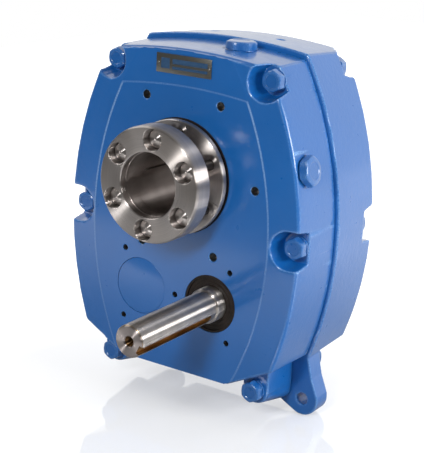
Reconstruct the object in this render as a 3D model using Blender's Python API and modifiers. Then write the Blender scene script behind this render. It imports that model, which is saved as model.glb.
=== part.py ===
"""Shaft-mounted double-reduction gearbox, modelled as its separate pieces.

The origin is on the output axis in the plane of the front face. +Z is up, the front face looks
towards -Y and all shafts lie along Y. Dimensions are in millimetres, and MM turns them into metres.
"""

import math

import bmesh
import bpy
from mathutils import Matrix, Vector

MM = 0.001
GAP = 0.3
SHARP_ANGLE = math.radians(32)
WELD = 0.00001
FLAT_ANGLE = math.radians(0.2)

# Shaft axes, as (x, z)
OUTPUT = (0.0, 0.0)
INPUT = (37.5, -109.3)
COUNTER = (-37.5, -109.3)

# Housing: (centre x, centre z, radius) of the arcs of its outline, and its depths along Y
TOP_ARC = (0.0, -398.0, 508.0)
SIDE_ARC = (-199.0, -50.0, 320.0)
FACE_TOP_ARC = (0.0, -398.0, 507.0)
FACE_SIDE_ARC = (-195.5, -50.0, 288.0)
SLOPE_POINT = (101.0, -159.0)
SLOPE_ANGLE = math.radians(-62.9)
BOTTOM_Z = -181.5
FLAT_RADIUS = 1.0e6
FACE_INSET = 1.0
FACE_DROP = 2.5
EDGE = 1.5
PARTING_Y = 63.0
BACK_Y = 134.0
DRAFT = 0.026
REAR_STEP_SIDE = 3.3
REAR_STEP_TOP = 5.0
REAR_BACK_GROWTH = 3.1
WALL = 8.0
FLOOR = 10.0
CORNER_RADII = (6.0, 5.0, 10.0)
FACE_CORNER_RADII = (2.0, 2.0, 8.0)
SIDE_STEPS = (4, 10, 1)
CORNER_STEPS = 2

# Housing fasteners
BOLTS_TOP = ((-80.0, 92.0), (80.0, 92.0))
BOLTS_MIDDLE = ((-111.5, -46.0), (111.5, -46.0))
BOLTS_BOTTOM = ((-77.5, -186.0), (77.5, -186.0))
BOLT_NAMES = ("top_left", "top_right", "middle_left", "middle_right", "bottom_left", "bottom_right")
BOLT_RADIUS = 6.0
BOLT_HOLE_RADIUS = 6.5
BOLT_FLATS = 19.0
BOLT_HEAD = 8.0
BOLT_SEAT_Y = 20.0
NUT_SEAT_Y = 116.0
NUT_HEIGHT = 10.0
NUT_BORE_RADIUS = 6.35
CHAMFER = 1.2
CHAMFER_SHARE = 0.94
BOLT_END_Y = 130.0
POCKET_MOUTH = 17.5
POCKET_FLOOR = 14.0
COLUMN_RADIUS = 22.0
PAD_BACK = 16.0
OUTPUT_PAD_RADIUS = 84.0
OUTPUT_BOSS_RADIUS = 70.0
SHAFT_PAD_RADIUS = 43.0
SHAFT_BOSS_RADIUS = 33.0
POCKET_REACH = 40.0
BOSS_RADIUS = 13.0
BOSS_FLARE = 9.0
BOSS_WEB = 18.0

# Torque-arm lug, in the plane of the parting face
LUG_HOLE = (102.0, -203.0)
LUG_HOLE_RADIUS = 5.5
LUG_TIP_RADIUS = 15.75
LUG_THICKNESS = 20.0

# Tapped holes
FACE_HOLE_CIRCLE = 76.6
FACE_HOLE_RADIUS = 3.8
FACE_HOLE_DEPTH = 12.0
SMALL_HOLE_CIRCLE = 37.5
SMALL_HOLE_RADIUS = 2.5
SMALL_HOLE_DEPTH = 10.0
LIFT_HOLE_RADIUS = 4.0
LIFT_HOLE_DEPTH = 6.0
LIFT_HOLE_X = 35.0
LIFT_HOLE_Y = 100.0

# Oil plugs
PLUG_FLATS = 24.0
PLUG_HEAD = 8.0
PLUG_RADIUS = 8.0
PLUG_DEPTH = 9.0
PLUG_SPOT_RADIUS = 15.0
PLUG_SPOT_DEPTH = 1.2
LEVEL_PLUG_Y = 20.0
LEVEL_PLUG_Z = 19.5
BREATHER_X = 30.0
PLUG_ROW_Y = 42.0

# Taper bushing, screws and thrust collar
FLANGE_RADIUS = 50.5
FLANGE_FRONT = -47.4
FLANGE_BACK = -28.0
BORE_RADIUS = 27.78
RELIEF_RADIUS = 28.4
RELIEF_DEPTH = 7.5
SCREW_CIRCLE = 39.6
SCREW_PHASE = math.radians(25.5)
COUNTERBORE_RADIUS = 9.2
COUNTERBORE_DEPTH = 16.5
SCREW_RADIUS = 4.7
SCREW_HEAD_RADIUS = 8.0
SCREW_HEAD = 5.0
SCREW_SOCKET = 7.0
SCREW_SOCKET_DEPTH = 3.5
SLEEVE_FRONT_RADIUS = 31.0
SLEEVE_BACK_RADIUS = 29.8
SLEEVE_END = 100.0
SLIT_WIDTH = 1.8
SLIT_FRONT = -13.4
SLIT_ANGLE = math.radians(174.0)
COLLAR_FRONT = -8.5
COLLAR_BACK = -3.3
COLLAR_SPLIT = math.radians(-20.0)
COLLAR_BORE = 34.3
COLLAR_LIP = 33.5

# Output hub
HUB_NOSE_RADIUS = 34.0
HUB_GROOVE_RADIUS = 33.2
HUB_RADIUS = 39.7
HUB_SEAT_RADIUS = 43.7
HUB_SHOULDER_RADIUS = 48.0
HUB_END = 138.0
HUB_BACK_BORE = 28.5

# Bearings, as (inner radius, inner ring, outer ring, outer radius), and their places along Y
OUTPUT_BEARING = (40.0, 46.8, 55.2, 62.5)
SMALL_BEARING = (15.0, 18.0, 22.7, 26.0)
INPUT_BEARING = (16.5, 19.2, 22.9, 26.0)
OUTPUT_BEARING_Y = ((11.2, 27.2), (108.0, 124.0))
SMALL_BEARING_Y = ((8.0, 23.0), (110.0, 125.0))
CAGE_SHARE = 0.62
CAGE_INSET = 1.5
SMALL_BORE = 26.3
OUTPUT_BORE = 62.8
SEAL_BORE = 51.3
SEAL_RADIUS = 51.0
COVER_RADIUS = 26.0
COVER_THICKNESS = 5.8

# Gears: teeth, and faces along Y. The stages share the countershaft.
PRESSURE = math.radians(20)
HELIX = math.radians(9.5)
TOOTH_THINNING = 0.2
PINION_1 = 17
WHEEL_1 = 58
STAGE_1_Y = (30.0, 52.0)
STAGE_1_DISTANCE = math.dist(INPUT, COUNTER)
PINION_2 = 17
WHEEL_2 = 70
STAGE_2_Y = (60.0, 92.0)
STAGE_2_DISTANCE = math.dist(OUTPUT, COUNTER)
MODULE_1 = 2 * STAGE_1_DISTANCE / (PINION_1 + WHEEL_1)
MODULE_2 = 2 * STAGE_2_DISTANCE / (PINION_2 + WHEEL_2)
TIP_HEIGHT = 0.94
ROOT_DEPTH = 1.22

# Keys, as (width, depth in the shaft, height above the shaft, angle)
OUTPUT_KEY = (12.0, 2.4, 4.0, math.radians(90))
COUNTER_KEY = (9.0, 4.0, 3.5, math.radians(90))

# Input shaft
SHAFT_END = -117.3
SHAFT_RADIUS = 14.0
SHOULDER_Y = -9.0
SHOULDER_RADIUS = 15.7
NECK_RADIUS = 14.0
REAR_SEAT_RADIUS = 16.0
CENTRE_HOLE_RADIUS = 3.0
CENTRE_HOLE_DEPTH = 8.5
KEYWAY_WIDTH = 8.0
KEYWAY_DEPTH = 4.0
KEYWAY_END = -16.0
KEYWAY_ANGLE = math.radians(-32.0)
COUNTER_SEAT_RADIUS = 17.7

# Nameplate
PLATE_SIZE = (56.6, 0.8, 16.5)
PLATE_Z = 96.25

COLOURS = {
    "paint": ((0.010, 0.110, 0.360), 0.0, 0.35),
    "machined": ((0.56, 0.53, 0.50), 1.0, 0.30),
    "ground": ((0.62, 0.61, 0.60), 1.0, 0.18),
    "dark_steel": ((0.25, 0.24, 0.23), 1.0, 0.40),
    "rubber": ((0.030, 0.022, 0.018), 0.0, 0.60),
    "plate": ((0.48, 0.46, 0.40), 1.0, 0.35),
}


def clear_scene():
    for item in list(bpy.data.objects):
        bpy.data.objects.remove(item)


def make_collection(name):
    group = bpy.data.collections.new(name)
    bpy.context.scene.collection.children.link(group)
    return group


def make_materials():
    made = {}
    for name, (colour, metallic, roughness) in COLOURS.items():
        material = bpy.data.materials.new(name)
        material.use_nodes = True
        shader = material.node_tree.nodes["Principled BSDF"]
        shader.inputs["Base Color"].default_value = (*colour, 1.0)
        shader.inputs["Metallic"].default_value = metallic
        shader.inputs["Roughness"].default_value = roughness
        made[name] = material
    return made


clear_scene()
PARTS = make_collection("industrial_gearbox")
CUTTERS = make_collection("cutters")
MATERIALS = make_materials()


# Building blocks


def add_part(name, mesh, material, axis=OUTPUT):
    """A piece of the gearbox, with its origin on the given shaft axis."""
    part = bpy.data.objects.new(name, mesh)
    mesh.materials.append(MATERIALS[material])
    part.location = (axis[0] * MM, 0.0, axis[1] * MM)
    PARTS.objects.link(part)
    return part


def add_cutter(name, mesh, axis=OUTPUT):
    cutter = bpy.data.objects.new(name, mesh)
    cutter.location = (axis[0] * MM, 0.0, axis[1] * MM)
    cutter.hide_render = True
    cutter.display_type = "WIRE"
    CUTTERS.objects.link(cutter)
    return cutter


def to_mesh(name, shape):
    mesh = bpy.data.meshes.new(name)
    shape.to_mesh(mesh)
    shape.free()
    return mesh


def along_y(x, z, middle):
    """Turns a primitive's own Z axis to +Y and puts its middle at (x, middle, z)."""
    return Matrix.Translation(Vector((x, middle, z)) * MM) @ Matrix.Rotation(-math.pi / 2, 4, "X")


def add_cone(shape, x, z, radii, depths, segments):
    """A closed cone frustum along Y, with its first radius at the first depth."""
    made = bmesh.ops.create_cone(
        shape,
        cap_ends=True,
        segments=segments,
        radius1=radii[0] * MM,
        radius2=radii[1] * MM,
        depth=(depths[1] - depths[0]) * MM,
        matrix=along_y(x, z, sum(depths) / 2),
    )
    return made["verts"]


def add_cylinder(shape, x, z, radius, depths, segments):
    return add_cone(shape, x, z, (radius, radius), depths, segments)


def cylinders(name, rows, segments):
    """One cutter of separate cylinders along Y, whose flats touch the radius in (x, z, radius, depths)."""
    shape = bmesh.new()
    for x, z, radius, depths in rows:
        add_cylinder(shape, x, z, radius / math.cos(math.pi / segments), depths, segments)
    return add_cutter(name, to_mesh(name, shape))


def box(name, size, middle, turn=None):
    shape = bmesh.new()
    scale = Matrix.Diagonal((*(Vector(size) * MM), 1.0))
    place = Matrix.Translation(Vector(middle) * MM)
    bmesh.ops.create_cube(shape, size=1.0, matrix=(turn or Matrix()) @ place @ scale)
    return to_mesh(name, shape)


def loft(name, rings, ring_shaped=False):
    """Skins rings of equally many points: a solid with end faces, or a closed ring of sections."""
    shape = bmesh.new()
    loops = [[shape.verts.new(Vector(point) * MM) for point in ring] for ring in rings]
    pairs = list(zip(loops, loops[1:]))
    if ring_shaped:
        pairs.append((loops[-1], loops[0]))
    else:
        shape.faces.new(reversed(loops[0]))
        shape.faces.new(loops[-1])
    for near, far in pairs:
        for i, corner in enumerate(near):
            j = (i + 1) % len(near)
            shape.faces.new((corner, near[j], far[j], far[i]))
    bmesh.ops.recalc_face_normals(shape, faces=shape.faces)
    return to_mesh(name, shape)


def circle(radius, y, points, phase=0.0):
    angles = [phase + math.tau * i / points for i in range(points)]
    return [(radius * math.cos(a), y, radius * math.sin(a)) for a in angles]


def hexagon(flats, y, points):
    """A hexagon by its width across flats, with the given number of points spread along its sides."""
    ring = []
    for i in range(points):
        angle = math.tau * i / points
        off_flat = (angle + math.pi / 6) % (math.pi / 3) - math.pi / 6
        radius = flats / 2 / math.cos(off_flat)
        ring.append((radius * math.cos(angle), y, radius * math.sin(angle)))
    return ring


def turned(name, profile, segments, material, axis=OUTPUT, closed=True):
    """A turned piece. Its profile of (radius, y) runs from front to back along the outside."""
    mesh = bpy.data.meshes.new(name)
    points = [(radius * MM, 0.0, -y * MM) for radius, y in profile]
    edges = [(i, i + 1) for i in range(len(points) - 1)]
    if closed:
        edges.append((len(points) - 1, 0))
    mesh.from_pydata(points, edges, [])
    part = add_part(name, mesh, material, axis)
    part.rotation_euler = (math.pi / 2, 0.0, 0.0)
    screw = part.modifiers.new("Turn", "SCREW")
    screw.steps = segments
    screw.render_steps = segments
    screw.use_merge_vertices = True
    screw.merge_threshold = WELD
    return part


def boolean(part, tool, operation="DIFFERENCE"):
    modifier = part.modifiers.new(tool.name, "BOOLEAN")
    modifier.operation = operation
    modifier.solver = "EXACT"
    modifier.object = tool


def bake(part):
    """Makes the modifiers' result the piece's own mesh."""
    graph = bpy.context.evaluated_depsgraph_get()
    mesh = bpy.data.meshes.new_from_object(part.evaluated_get(graph))
    part.modifiers.clear()
    part.data = mesh
    shape = bmesh.new()
    shape.from_mesh(mesh)
    bmesh.ops.remove_doubles(shape, verts=shape.verts, dist=WELD)
    bmesh.ops.dissolve_degenerate(shape, edges=shape.edges, dist=WELD)
    bmesh.ops.dissolve_limit(shape, angle_limit=FLAT_ANGLE, verts=shape.verts, edges=shape.edges)
    shape.to_mesh(mesh)
    shape.free()


# Housing outline


def flat(point, angle, inset=0.0):
    """A straight side as an arc of very large radius, through a point, facing along an angle."""
    reach = FLAT_RADIUS + inset
    centre = (point[0] - reach * math.cos(angle), point[1] - reach * math.sin(angle))
    return (*centre, FLAT_RADIUS)


def body_sides(inset=0.0):
    return (
        TOP_ARC,
        SIDE_ARC,
        flat(SLOPE_POINT, SLOPE_ANGLE, inset),
        flat((0.0, BOTTOM_Z), -math.pi / 2, inset),
    )


def face_sides():
    return (FACE_TOP_ARC, FACE_SIDE_ARC, *body_sides(FACE_INSET)[2:])


def corner_centre(first, second, radius):
    """Where two arcs meet, both drawn inwards by the corner's radius."""
    start = Vector(first[:2])
    way = Vector(second[:2]) - start
    reach_first = first[2] - radius
    reach_second = second[2] - radius
    along = (reach_first**2 - reach_second**2 + way.length**2) / (2 * way.length)
    across = math.sqrt(reach_first**2 - along**2)
    unit = way.normalized()
    return start + unit * along + Vector((unit.y, -unit.x)) * across


def arc_points(centre, radius, start, end, steps):
    angles = [start + (end - start) * i / steps for i in range(steps + 1)]
    return [(centre[0] + radius * math.cos(a), centre[1] + radius * math.sin(a)) for a in angles]


def outline(sides, growth, radii=CORNER_RADII):
    """The right half runs clockwise from the top; the left half mirrors it."""
    grown = [(x, z, radius + more) for (x, z, radius), more in zip(sides, growth)]
    half = []
    angle = math.pi / 2
    for side, following, radius, steps in zip(grown, grown[1:], radii, SIDE_STEPS):
        centre = corner_centre(side, following, radius)
        leave = math.atan2(centre.y - side[1], centre.x - side[0])
        enter = math.atan2(centre.y - following[1], centre.x - following[0])
        half += arc_points(side, side[2], angle, leave, steps)[:-1]
        half += arc_points(centre, radius, leave, enter, CORNER_STEPS)[:-1]
        angle = enter
    last = grown[-1]
    half.append((last[0] + last[2] * math.cos(angle), last[1] + last[2] * math.sin(angle)))
    return half + [(-x, z) for x, z in reversed(half[1:])]


def ring(points, y):
    return [(x, y, z) for x, z in points]


def body_ring(y, growth):
    return ring(outline(body_sides(), growth), y)


def even(growth):
    return (growth,) * 4


# Housing halves


def stretched(shape, x, z, radii, depths, segments, pull, side):
    """A cone frustum whose half on one side is pulled out, which gives it a stadium section."""
    verts = add_cone(shape, x, z, radii, depths, segments)
    axis = Vector(side)
    for vert in verts:
        if (vert.co - Vector((x, 0.0, z)) * MM).dot(axis) > WELD:
            vert.co += axis * pull * MM


def pocket_cutter(name, mouth_y, floor_y, radii):
    """Bolt pockets: round at the corners, and open to the side at the middle bolts."""
    depths = (mouth_y, floor_y) if mouth_y < floor_y else (floor_y, mouth_y)
    sizes = radii if mouth_y < floor_y else radii[::-1]
    shape = bmesh.new()
    for x, z in BOLTS_TOP:
        add_cone(shape, x, z, sizes, depths, 20)
    for x, z in BOLTS_MIDDLE:
        outward = (math.copysign(1.0, x), 0.0, 0.0)
        stretched(shape, x, z, sizes, depths, 20, POCKET_REACH, outward)
    return add_cutter(name, to_mesh(name, shape))


def cavity_cutter(name, rings, bosses):
    """The hollow inside a half, less the solid bosses and bolt columns left standing in it."""
    cavity = add_cutter(name, loft(name, rings))
    full_depth = (rings[0][0][1] - 2, rings[-1][0][1] + 2)
    columns = [(x, z, COLUMN_RADIUS, full_depth) for x, z in BOLTS_TOP + BOLTS_MIDDLE]
    boolean(cavity, cylinders(name + "_columns", columns, 16))
    for i, boss in enumerate(bosses):
        boolean(cavity, cylinders(f"{name}_boss_{i}", [boss], 24))
    bake(cavity)
    return cavity


def small_hole_places():
    places = [(0.0, INPUT[1])]
    for angle in (math.pi / 3, -math.pi / 3):
        x = INPUT[0] + SMALL_HOLE_CIRCLE * math.cos(angle)
        z = INPUT[1] + SMALL_HOLE_CIRCLE * math.sin(angle)
        places += [(x, z), (-x, z)]
    return places


def face_hole_rows():
    rows = []
    for i in range(6):
        angle = math.tau * i / 6
        x = FACE_HOLE_CIRCLE * math.cos(angle)
        z = FACE_HOLE_CIRCLE * math.sin(angle)
        rows.append((x, z, FACE_HOLE_RADIUS, (-1.0, FACE_HOLE_DEPTH)))
    for x, z in small_hole_places():
        rows.append((x, z, SMALL_HOLE_RADIUS, (-1.0, SMALL_HOLE_DEPTH)))
    return rows


def side_point(z, growth):
    """The right wall's x at a height, and the angle that it faces."""
    centre_x, centre_z, radius = SIDE_ARC
    angle = math.asin((z - centre_z) / (radius + growth))
    return centre_x + (radius + growth) * math.cos(angle), angle


def wall_growth(y):
    """How far the drafted front half has widened at a depth."""
    return DRAFT * (y - FACE_DROP)


def plug_places():
    """Each oil plug's name, the centre of its seat, and the direction that it faces."""
    growth = wall_growth(LEVEL_PLUG_Y)
    x, angle = side_point(LEVEL_PLUG_Z, growth)
    right = Vector((math.cos(angle), 0.0, math.sin(angle)))
    top_z = TOP_ARC[1] + math.sqrt((TOP_ARC[2] + wall_growth(PLUG_ROW_Y)) ** 2 - BREATHER_X**2)
    low_z = BOTTOM_Z - wall_growth(PLUG_ROW_Y)
    return (
        ("level_plug", Vector((x, LEVEL_PLUG_Y, LEVEL_PLUG_Z)), right),
        ("breather_plug", Vector((BREATHER_X, PLUG_ROW_Y, top_z)), Vector((0.0, 0.0, 1.0))),
        ("drain_plug", Vector((0.0, PLUG_ROW_Y, low_z)), Vector((0.0, 0.0, -1.0))),
    )


def plug_turn(facing):
    """Turns +Y to the direction that a plug's inner end points in."""
    return Vector((0.0, 1.0, 0.0)).rotation_difference(-facing).to_matrix().to_4x4()


def plug_cutter(name, radius, depths):
    """Holes or spot faces at the plugs, measured inwards from the wall."""
    shape = bmesh.new()
    for _, seat, facing in plug_places():
        verts = add_cylinder(shape, 0.0, 0.0, radius, depths, 16)
        place = Matrix.Translation(seat * MM) @ plug_turn(facing)
        bmesh.ops.transform(shape, matrix=place, verts=verts)
    return add_cutter(name, to_mesh(name, shape))


def front_bosses():
    """Pads behind the tapped holes and rings round the bearings, as (x, z, radius, depths)."""
    front = FLOOR - 2
    pad = (front, PAD_BACK)
    shaft = (front, SMALL_BEARING_Y[0][1] + 2)
    output = (front, OUTPUT_BEARING_Y[0][1] + 0.8)
    return (
        (*OUTPUT, OUTPUT_PAD_RADIUS, pad),
        (*INPUT, SHAFT_PAD_RADIUS, pad),
        (*COUNTER, SHAFT_PAD_RADIUS, pad),
        (*OUTPUT, OUTPUT_BOSS_RADIUS, output),
        (*INPUT, SHAFT_BOSS_RADIUS, shaft),
        (*COUNTER, SHAFT_BOSS_RADIUS, shaft),
    )


def rear_bosses():
    back = BACK_Y - FLOOR + 2
    shaft = (SMALL_BEARING_Y[1][0] - 1.5, back)
    output = (OUTPUT_BEARING_Y[1][0] - 1.5, back)
    return (
        (*OUTPUT, OUTPUT_BOSS_RADIUS, output),
        (*INPUT, SHAFT_BOSS_RADIUS, shaft),
        (*COUNTER, SHAFT_BOSS_RADIUS, shaft),
    )


def bottom_boss(name, x, z, depths, flare):
    """A boss round a bottom bolt, with a web up to the housing and a foot that may widen down."""
    shape = bmesh.new()
    verts = add_cylinder(shape, x, z, BOSS_RADIUS, depths, 20)
    for vert in verts:
        if vert.co.z > z * MM + WELD:
            vert.co.z += BOSS_WEB * MM
        elif vert.co.z < z * MM - WELD and vert.co.y > sum(depths) / 2 * MM:
            vert.co.z -= flare * MM
    return add_cutter(name, to_mesh(name, shape))


def front_housing():
    outer = outline(body_sides(), even(0.0))
    inner = outline(body_sides(), even(-EDGE))
    back_y = PARTING_Y - GAP / 2
    rings = (
        ring(outline(face_sides(), even(0.0), FACE_CORNER_RADII), 0.0),
        ring(inner, FACE_DROP - 0.2),
        ring(outer, FACE_DROP + EDGE),
        body_ring(back_y, even(wall_growth(PARTING_Y))),
    )
    part = add_part("front_housing", loft("front_housing", rings), "paint")
    for name, (x, z) in zip(("front_boss_left", "front_boss_right"), BOLTS_BOTTOM):
        boss = bottom_boss(name, x, z, (BOLT_SEAT_Y, back_y), BOSS_FLARE)
        boolean(part, boss, "UNION")
    cavity_rings = (
        body_ring(FLOOR, even(-WALL)),
        body_ring(PARTING_Y + 1, even(wall_growth(PARTING_Y) - WALL)),
    )
    boolean(part, cavity_cutter("front_cavity", cavity_rings, front_bosses()))
    boolean(part, pocket_cutter("front_pockets", -1.0, BOLT_SEAT_Y, (POCKET_MOUTH, POCKET_FLOOR)))
    bores = [
        (*OUTPUT, SEAL_BORE, (-1.0, 12.0)),
        (*INPUT, SMALL_BORE, (-1.0, 26.0)),
        (*COUNTER, SMALL_BORE, (-1.0, 26.0)),
    ]
    boolean(part, cylinders("front_bores", bores, 32))
    deep_bore = [(*OUTPUT, OUTPUT_BORE, (OUTPUT_BEARING_Y[0][0] - GAP, 29.0))]
    boolean(part, cylinders("front_bearing_bore", deep_bore, 32))
    boolean(part, cylinders("front_tapped_holes", face_hole_rows(), 8))
    places = BOLTS_TOP + BOLTS_MIDDLE + BOLTS_BOTTOM
    through = (BOLT_SEAT_Y - 2, PARTING_Y + 1)
    bolt_holes = [(x, z, BOLT_HOLE_RADIUS, through) for x, z in places]
    boolean(part, cylinders("front_bolt_holes", bolt_holes, 12))
    boolean(part, plug_cutter("plug_spot_faces", PLUG_SPOT_RADIUS, (-5.0, PLUG_SPOT_DEPTH)))
    boolean(part, plug_cutter("plug_holes", PLUG_RADIUS + GAP, (-5.0, WALL + 8)))
    bake(part)


def lug_outline():
    """The torque-arm lug: a round tip, and edges that run up into the housing."""
    x, z = LUG_HOLE
    tip = arc_points((x, z), LUG_TIP_RADIUS, math.radians(-117.8), math.radians(18.0), 12)
    right = [(110.5, -182.0), (106.0, -163.0), (96.0, -150.0)]
    left = [(62.0, -160.0), (62.0, -199.6)]
    return tip + right + left


def plate(name, points, depths):
    """A flat outline in the XZ plane, extruded along Y."""
    curve = bpy.data.curves.new(name, "CURVE")
    curve.dimensions = "2D"
    curve.fill_mode = "BOTH"
    curve.extrude = (depths[1] - depths[0]) / 2 * MM
    spline = curve.splines.new("POLY")
    spline.points.add(len(points) - 1)
    for target, (x, z) in zip(spline.points, points):
        target.co = (x * MM, z * MM, 0.0, 1.0)
    spline.use_cyclic_u = True
    guide = bpy.data.objects.new(name + "_curve", curve)
    guide.location = (0.0, sum(depths) / 2 * MM, 0.0)
    guide.rotation_euler = (math.pi / 2, 0.0, 0.0)
    CUTTERS.objects.link(guide)
    bpy.context.view_layer.update()
    graph = bpy.context.evaluated_depsgraph_get()
    mesh = bpy.data.meshes.new_from_object(guide.evaluated_get(graph))
    shape = bmesh.new()
    shape.from_mesh(mesh)
    bmesh.ops.remove_doubles(shape, verts=shape.verts, dist=WELD)
    bmesh.ops.recalc_face_normals(shape, faces=shape.faces)
    shape.to_mesh(mesh)
    shape.free()
    solid = add_cutter(name, mesh)
    solid.matrix_world = guide.matrix_world
    bpy.data.objects.remove(guide)
    return solid


def lift_hole_cutter():
    """Tapped holes in the top of the rear half."""
    shape = bmesh.new()
    for x in (-LIFT_HOLE_X, LIFT_HOLE_X):
        top_z = TOP_ARC[1] + math.sqrt(TOP_ARC[2] ** 2 - x**2) + REAR_BACK_GROWTH
        bmesh.ops.create_cone(
            shape,
            cap_ends=True,
            segments=12,
            radius1=LIFT_HOLE_RADIUS * MM,
            radius2=LIFT_HOLE_RADIUS * MM,
            depth=2 * LIFT_HOLE_DEPTH * MM,
            matrix=Matrix.Translation(Vector((x, LIFT_HOLE_Y, top_z + 1.0)) * MM),
        )
    return add_cutter("lift_holes", to_mesh("lift_holes", shape))


def rear_housing():
    front_y = PARTING_Y + GAP / 2
    side = wall_growth(PARTING_Y) + REAR_STEP_SIDE
    top = wall_growth(PARTING_Y) + REAR_STEP_TOP
    rings = (
        body_ring(front_y, (top, side, side, side)),
        body_ring(BACK_Y - FACE_DROP, even(REAR_BACK_GROWTH)),
        body_ring(BACK_Y, even(REAR_BACK_GROWTH - EDGE)),
    )
    part = add_part("rear_housing", loft("rear_housing", rings), "paint")
    for name, (x, z) in zip(("rear_boss_left", "rear_boss_right"), BOLTS_BOTTOM):
        boss = bottom_boss(name, x, z, (front_y, NUT_SEAT_Y), 0.0)
        boolean(part, boss, "UNION")
    lug = plate("torque_arm_lug", lug_outline(), (front_y, front_y + LUG_THICKNESS))
    boolean(part, lug, "UNION")
    inner = wall_growth(PARTING_Y) - WALL
    cavity_rings = (
        body_ring(PARTING_Y - 1, even(inner)),
        body_ring(BACK_Y - FLOOR, even(inner)),
    )
    boolean(part, cavity_cutter("rear_cavity", cavity_rings, rear_bosses()))
    radii = (POCKET_MOUTH, POCKET_FLOOR)
    boolean(part, pocket_cutter("rear_pockets", BACK_Y + 1, NUT_SEAT_Y, radii))
    corner_cuts = [(x, z, POCKET_FLOOR, (NUT_SEAT_Y, BACK_Y + 1)) for x, z in BOLTS_BOTTOM]
    boolean(part, cylinders("rear_bottom_pockets", corner_cuts, 24))
    bores = [
        (*OUTPUT, SEAL_BORE, (123.0, BACK_Y + 1)),
        (*INPUT, SMALL_BORE, (107.0, BACK_Y + 1)),
        (*COUNTER, SMALL_BORE, (107.0, BACK_Y + 1)),
    ]
    boolean(part, cylinders("rear_bores", bores, 32))
    deep_bore = [(*OUTPUT, OUTPUT_BORE, (105.0, OUTPUT_BEARING_Y[1][1] + GAP))]
    boolean(part, cylinders("rear_bearing_bore", deep_bore, 32))
    places = BOLTS_TOP + BOLTS_MIDDLE + BOLTS_BOTTOM
    through = (PARTING_Y - 1, NUT_SEAT_Y + 2)
    bolt_holes = [(x, z, BOLT_HOLE_RADIUS, through) for x, z in places]
    bolt_holes.append((*LUG_HOLE, LUG_HOLE_RADIUS, (PARTING_Y - 1, PARTING_Y + LUG_THICKNESS + 2)))
    boolean(part, cylinders("rear_bolt_holes", bolt_holes, 12))
    boolean(part, lift_hole_cutter())
    bake(part)


# Fasteners and plugs


def housing_bolt(name, axis):
    points = 12
    seat = BOLT_SEAT_Y - GAP
    top = seat - BOLT_HEAD
    rings = (
        circle(BOLT_FLATS / 2 * CHAMFER_SHARE, top, points),
        hexagon(BOLT_FLATS, top + CHAMFER, points),
        hexagon(BOLT_FLATS, seat, points),
        circle(BOLT_RADIUS, seat, points),
        circle(BOLT_RADIUS, BOLT_END_Y - 1.0, points),
        circle(BOLT_RADIUS - 1.0, BOLT_END_Y, points),
    )
    add_part(name, loft(name, rings), "paint", axis)


def housing_nut(name, axis):
    points = 12
    front = NUT_SEAT_Y + GAP
    back = front + NUT_HEIGHT
    rings = (
        hexagon(BOLT_FLATS, front, points),
        hexagon(BOLT_FLATS, back - CHAMFER, points),
        circle(BOLT_FLATS / 2 * CHAMFER_SHARE, back, points),
        circle(NUT_BORE_RADIUS, back, points),
        circle(NUT_BORE_RADIUS, front, points),
    )
    add_part(name, loft(name, rings, ring_shaped=True), "paint", axis)


def housing_fasteners():
    places = BOLTS_TOP + BOLTS_MIDDLE + BOLTS_BOTTOM
    for name, axis in zip(BOLT_NAMES, places):
        housing_bolt("housing_bolt_" + name, axis)
        housing_nut("housing_nut_" + name, axis)


def oil_plugs():
    """Hexagon plugs, seated on the spot faces cut in the walls."""
    points = 12
    seat = PLUG_SPOT_DEPTH - GAP
    rings = (
        circle(PLUG_FLATS / 2 * CHAMFER_SHARE, seat - PLUG_HEAD, points),
        hexagon(PLUG_FLATS, seat - PLUG_HEAD + CHAMFER, points),
        hexagon(PLUG_FLATS, seat, points),
        circle(PLUG_RADIUS, seat, points),
        circle(PLUG_RADIUS, seat + PLUG_DEPTH, points),
    )
    for name, place, facing in plug_places():
        part = add_part(name, loft(name, rings), "paint")
        part.location = place * MM
        part.rotation_euler = plug_turn(facing).to_euler()


def nameplate():
    mesh = box("nameplate", PLATE_SIZE, (0.0, -GAP - PLATE_SIZE[1] / 2, PLATE_Z))
    part = add_part("nameplate", mesh, "plate")
    bevel = part.modifiers.new("Round corners", "BEVEL")
    bevel.width = 0.25 * MM
    bevel.segments = 1
    bake(part)


# Output: bushing, collar, hub, gear, bearings and seals


def screw_places():
    angles = [SCREW_PHASE + math.tau * i / 6 for i in range(6)]
    return [(SCREW_CIRCLE * math.cos(a), SCREW_CIRCLE * math.sin(a)) for a in angles]


def sleeve_radius(y):
    """The taper that the sleeve and the hub's bore share."""
    share = (y - FLANGE_BACK) / (SLEEVE_END - FLANGE_BACK)
    return SLEEVE_FRONT_RADIUS + (SLEEVE_BACK_RADIUS - SLEEVE_FRONT_RADIUS) * share


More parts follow.
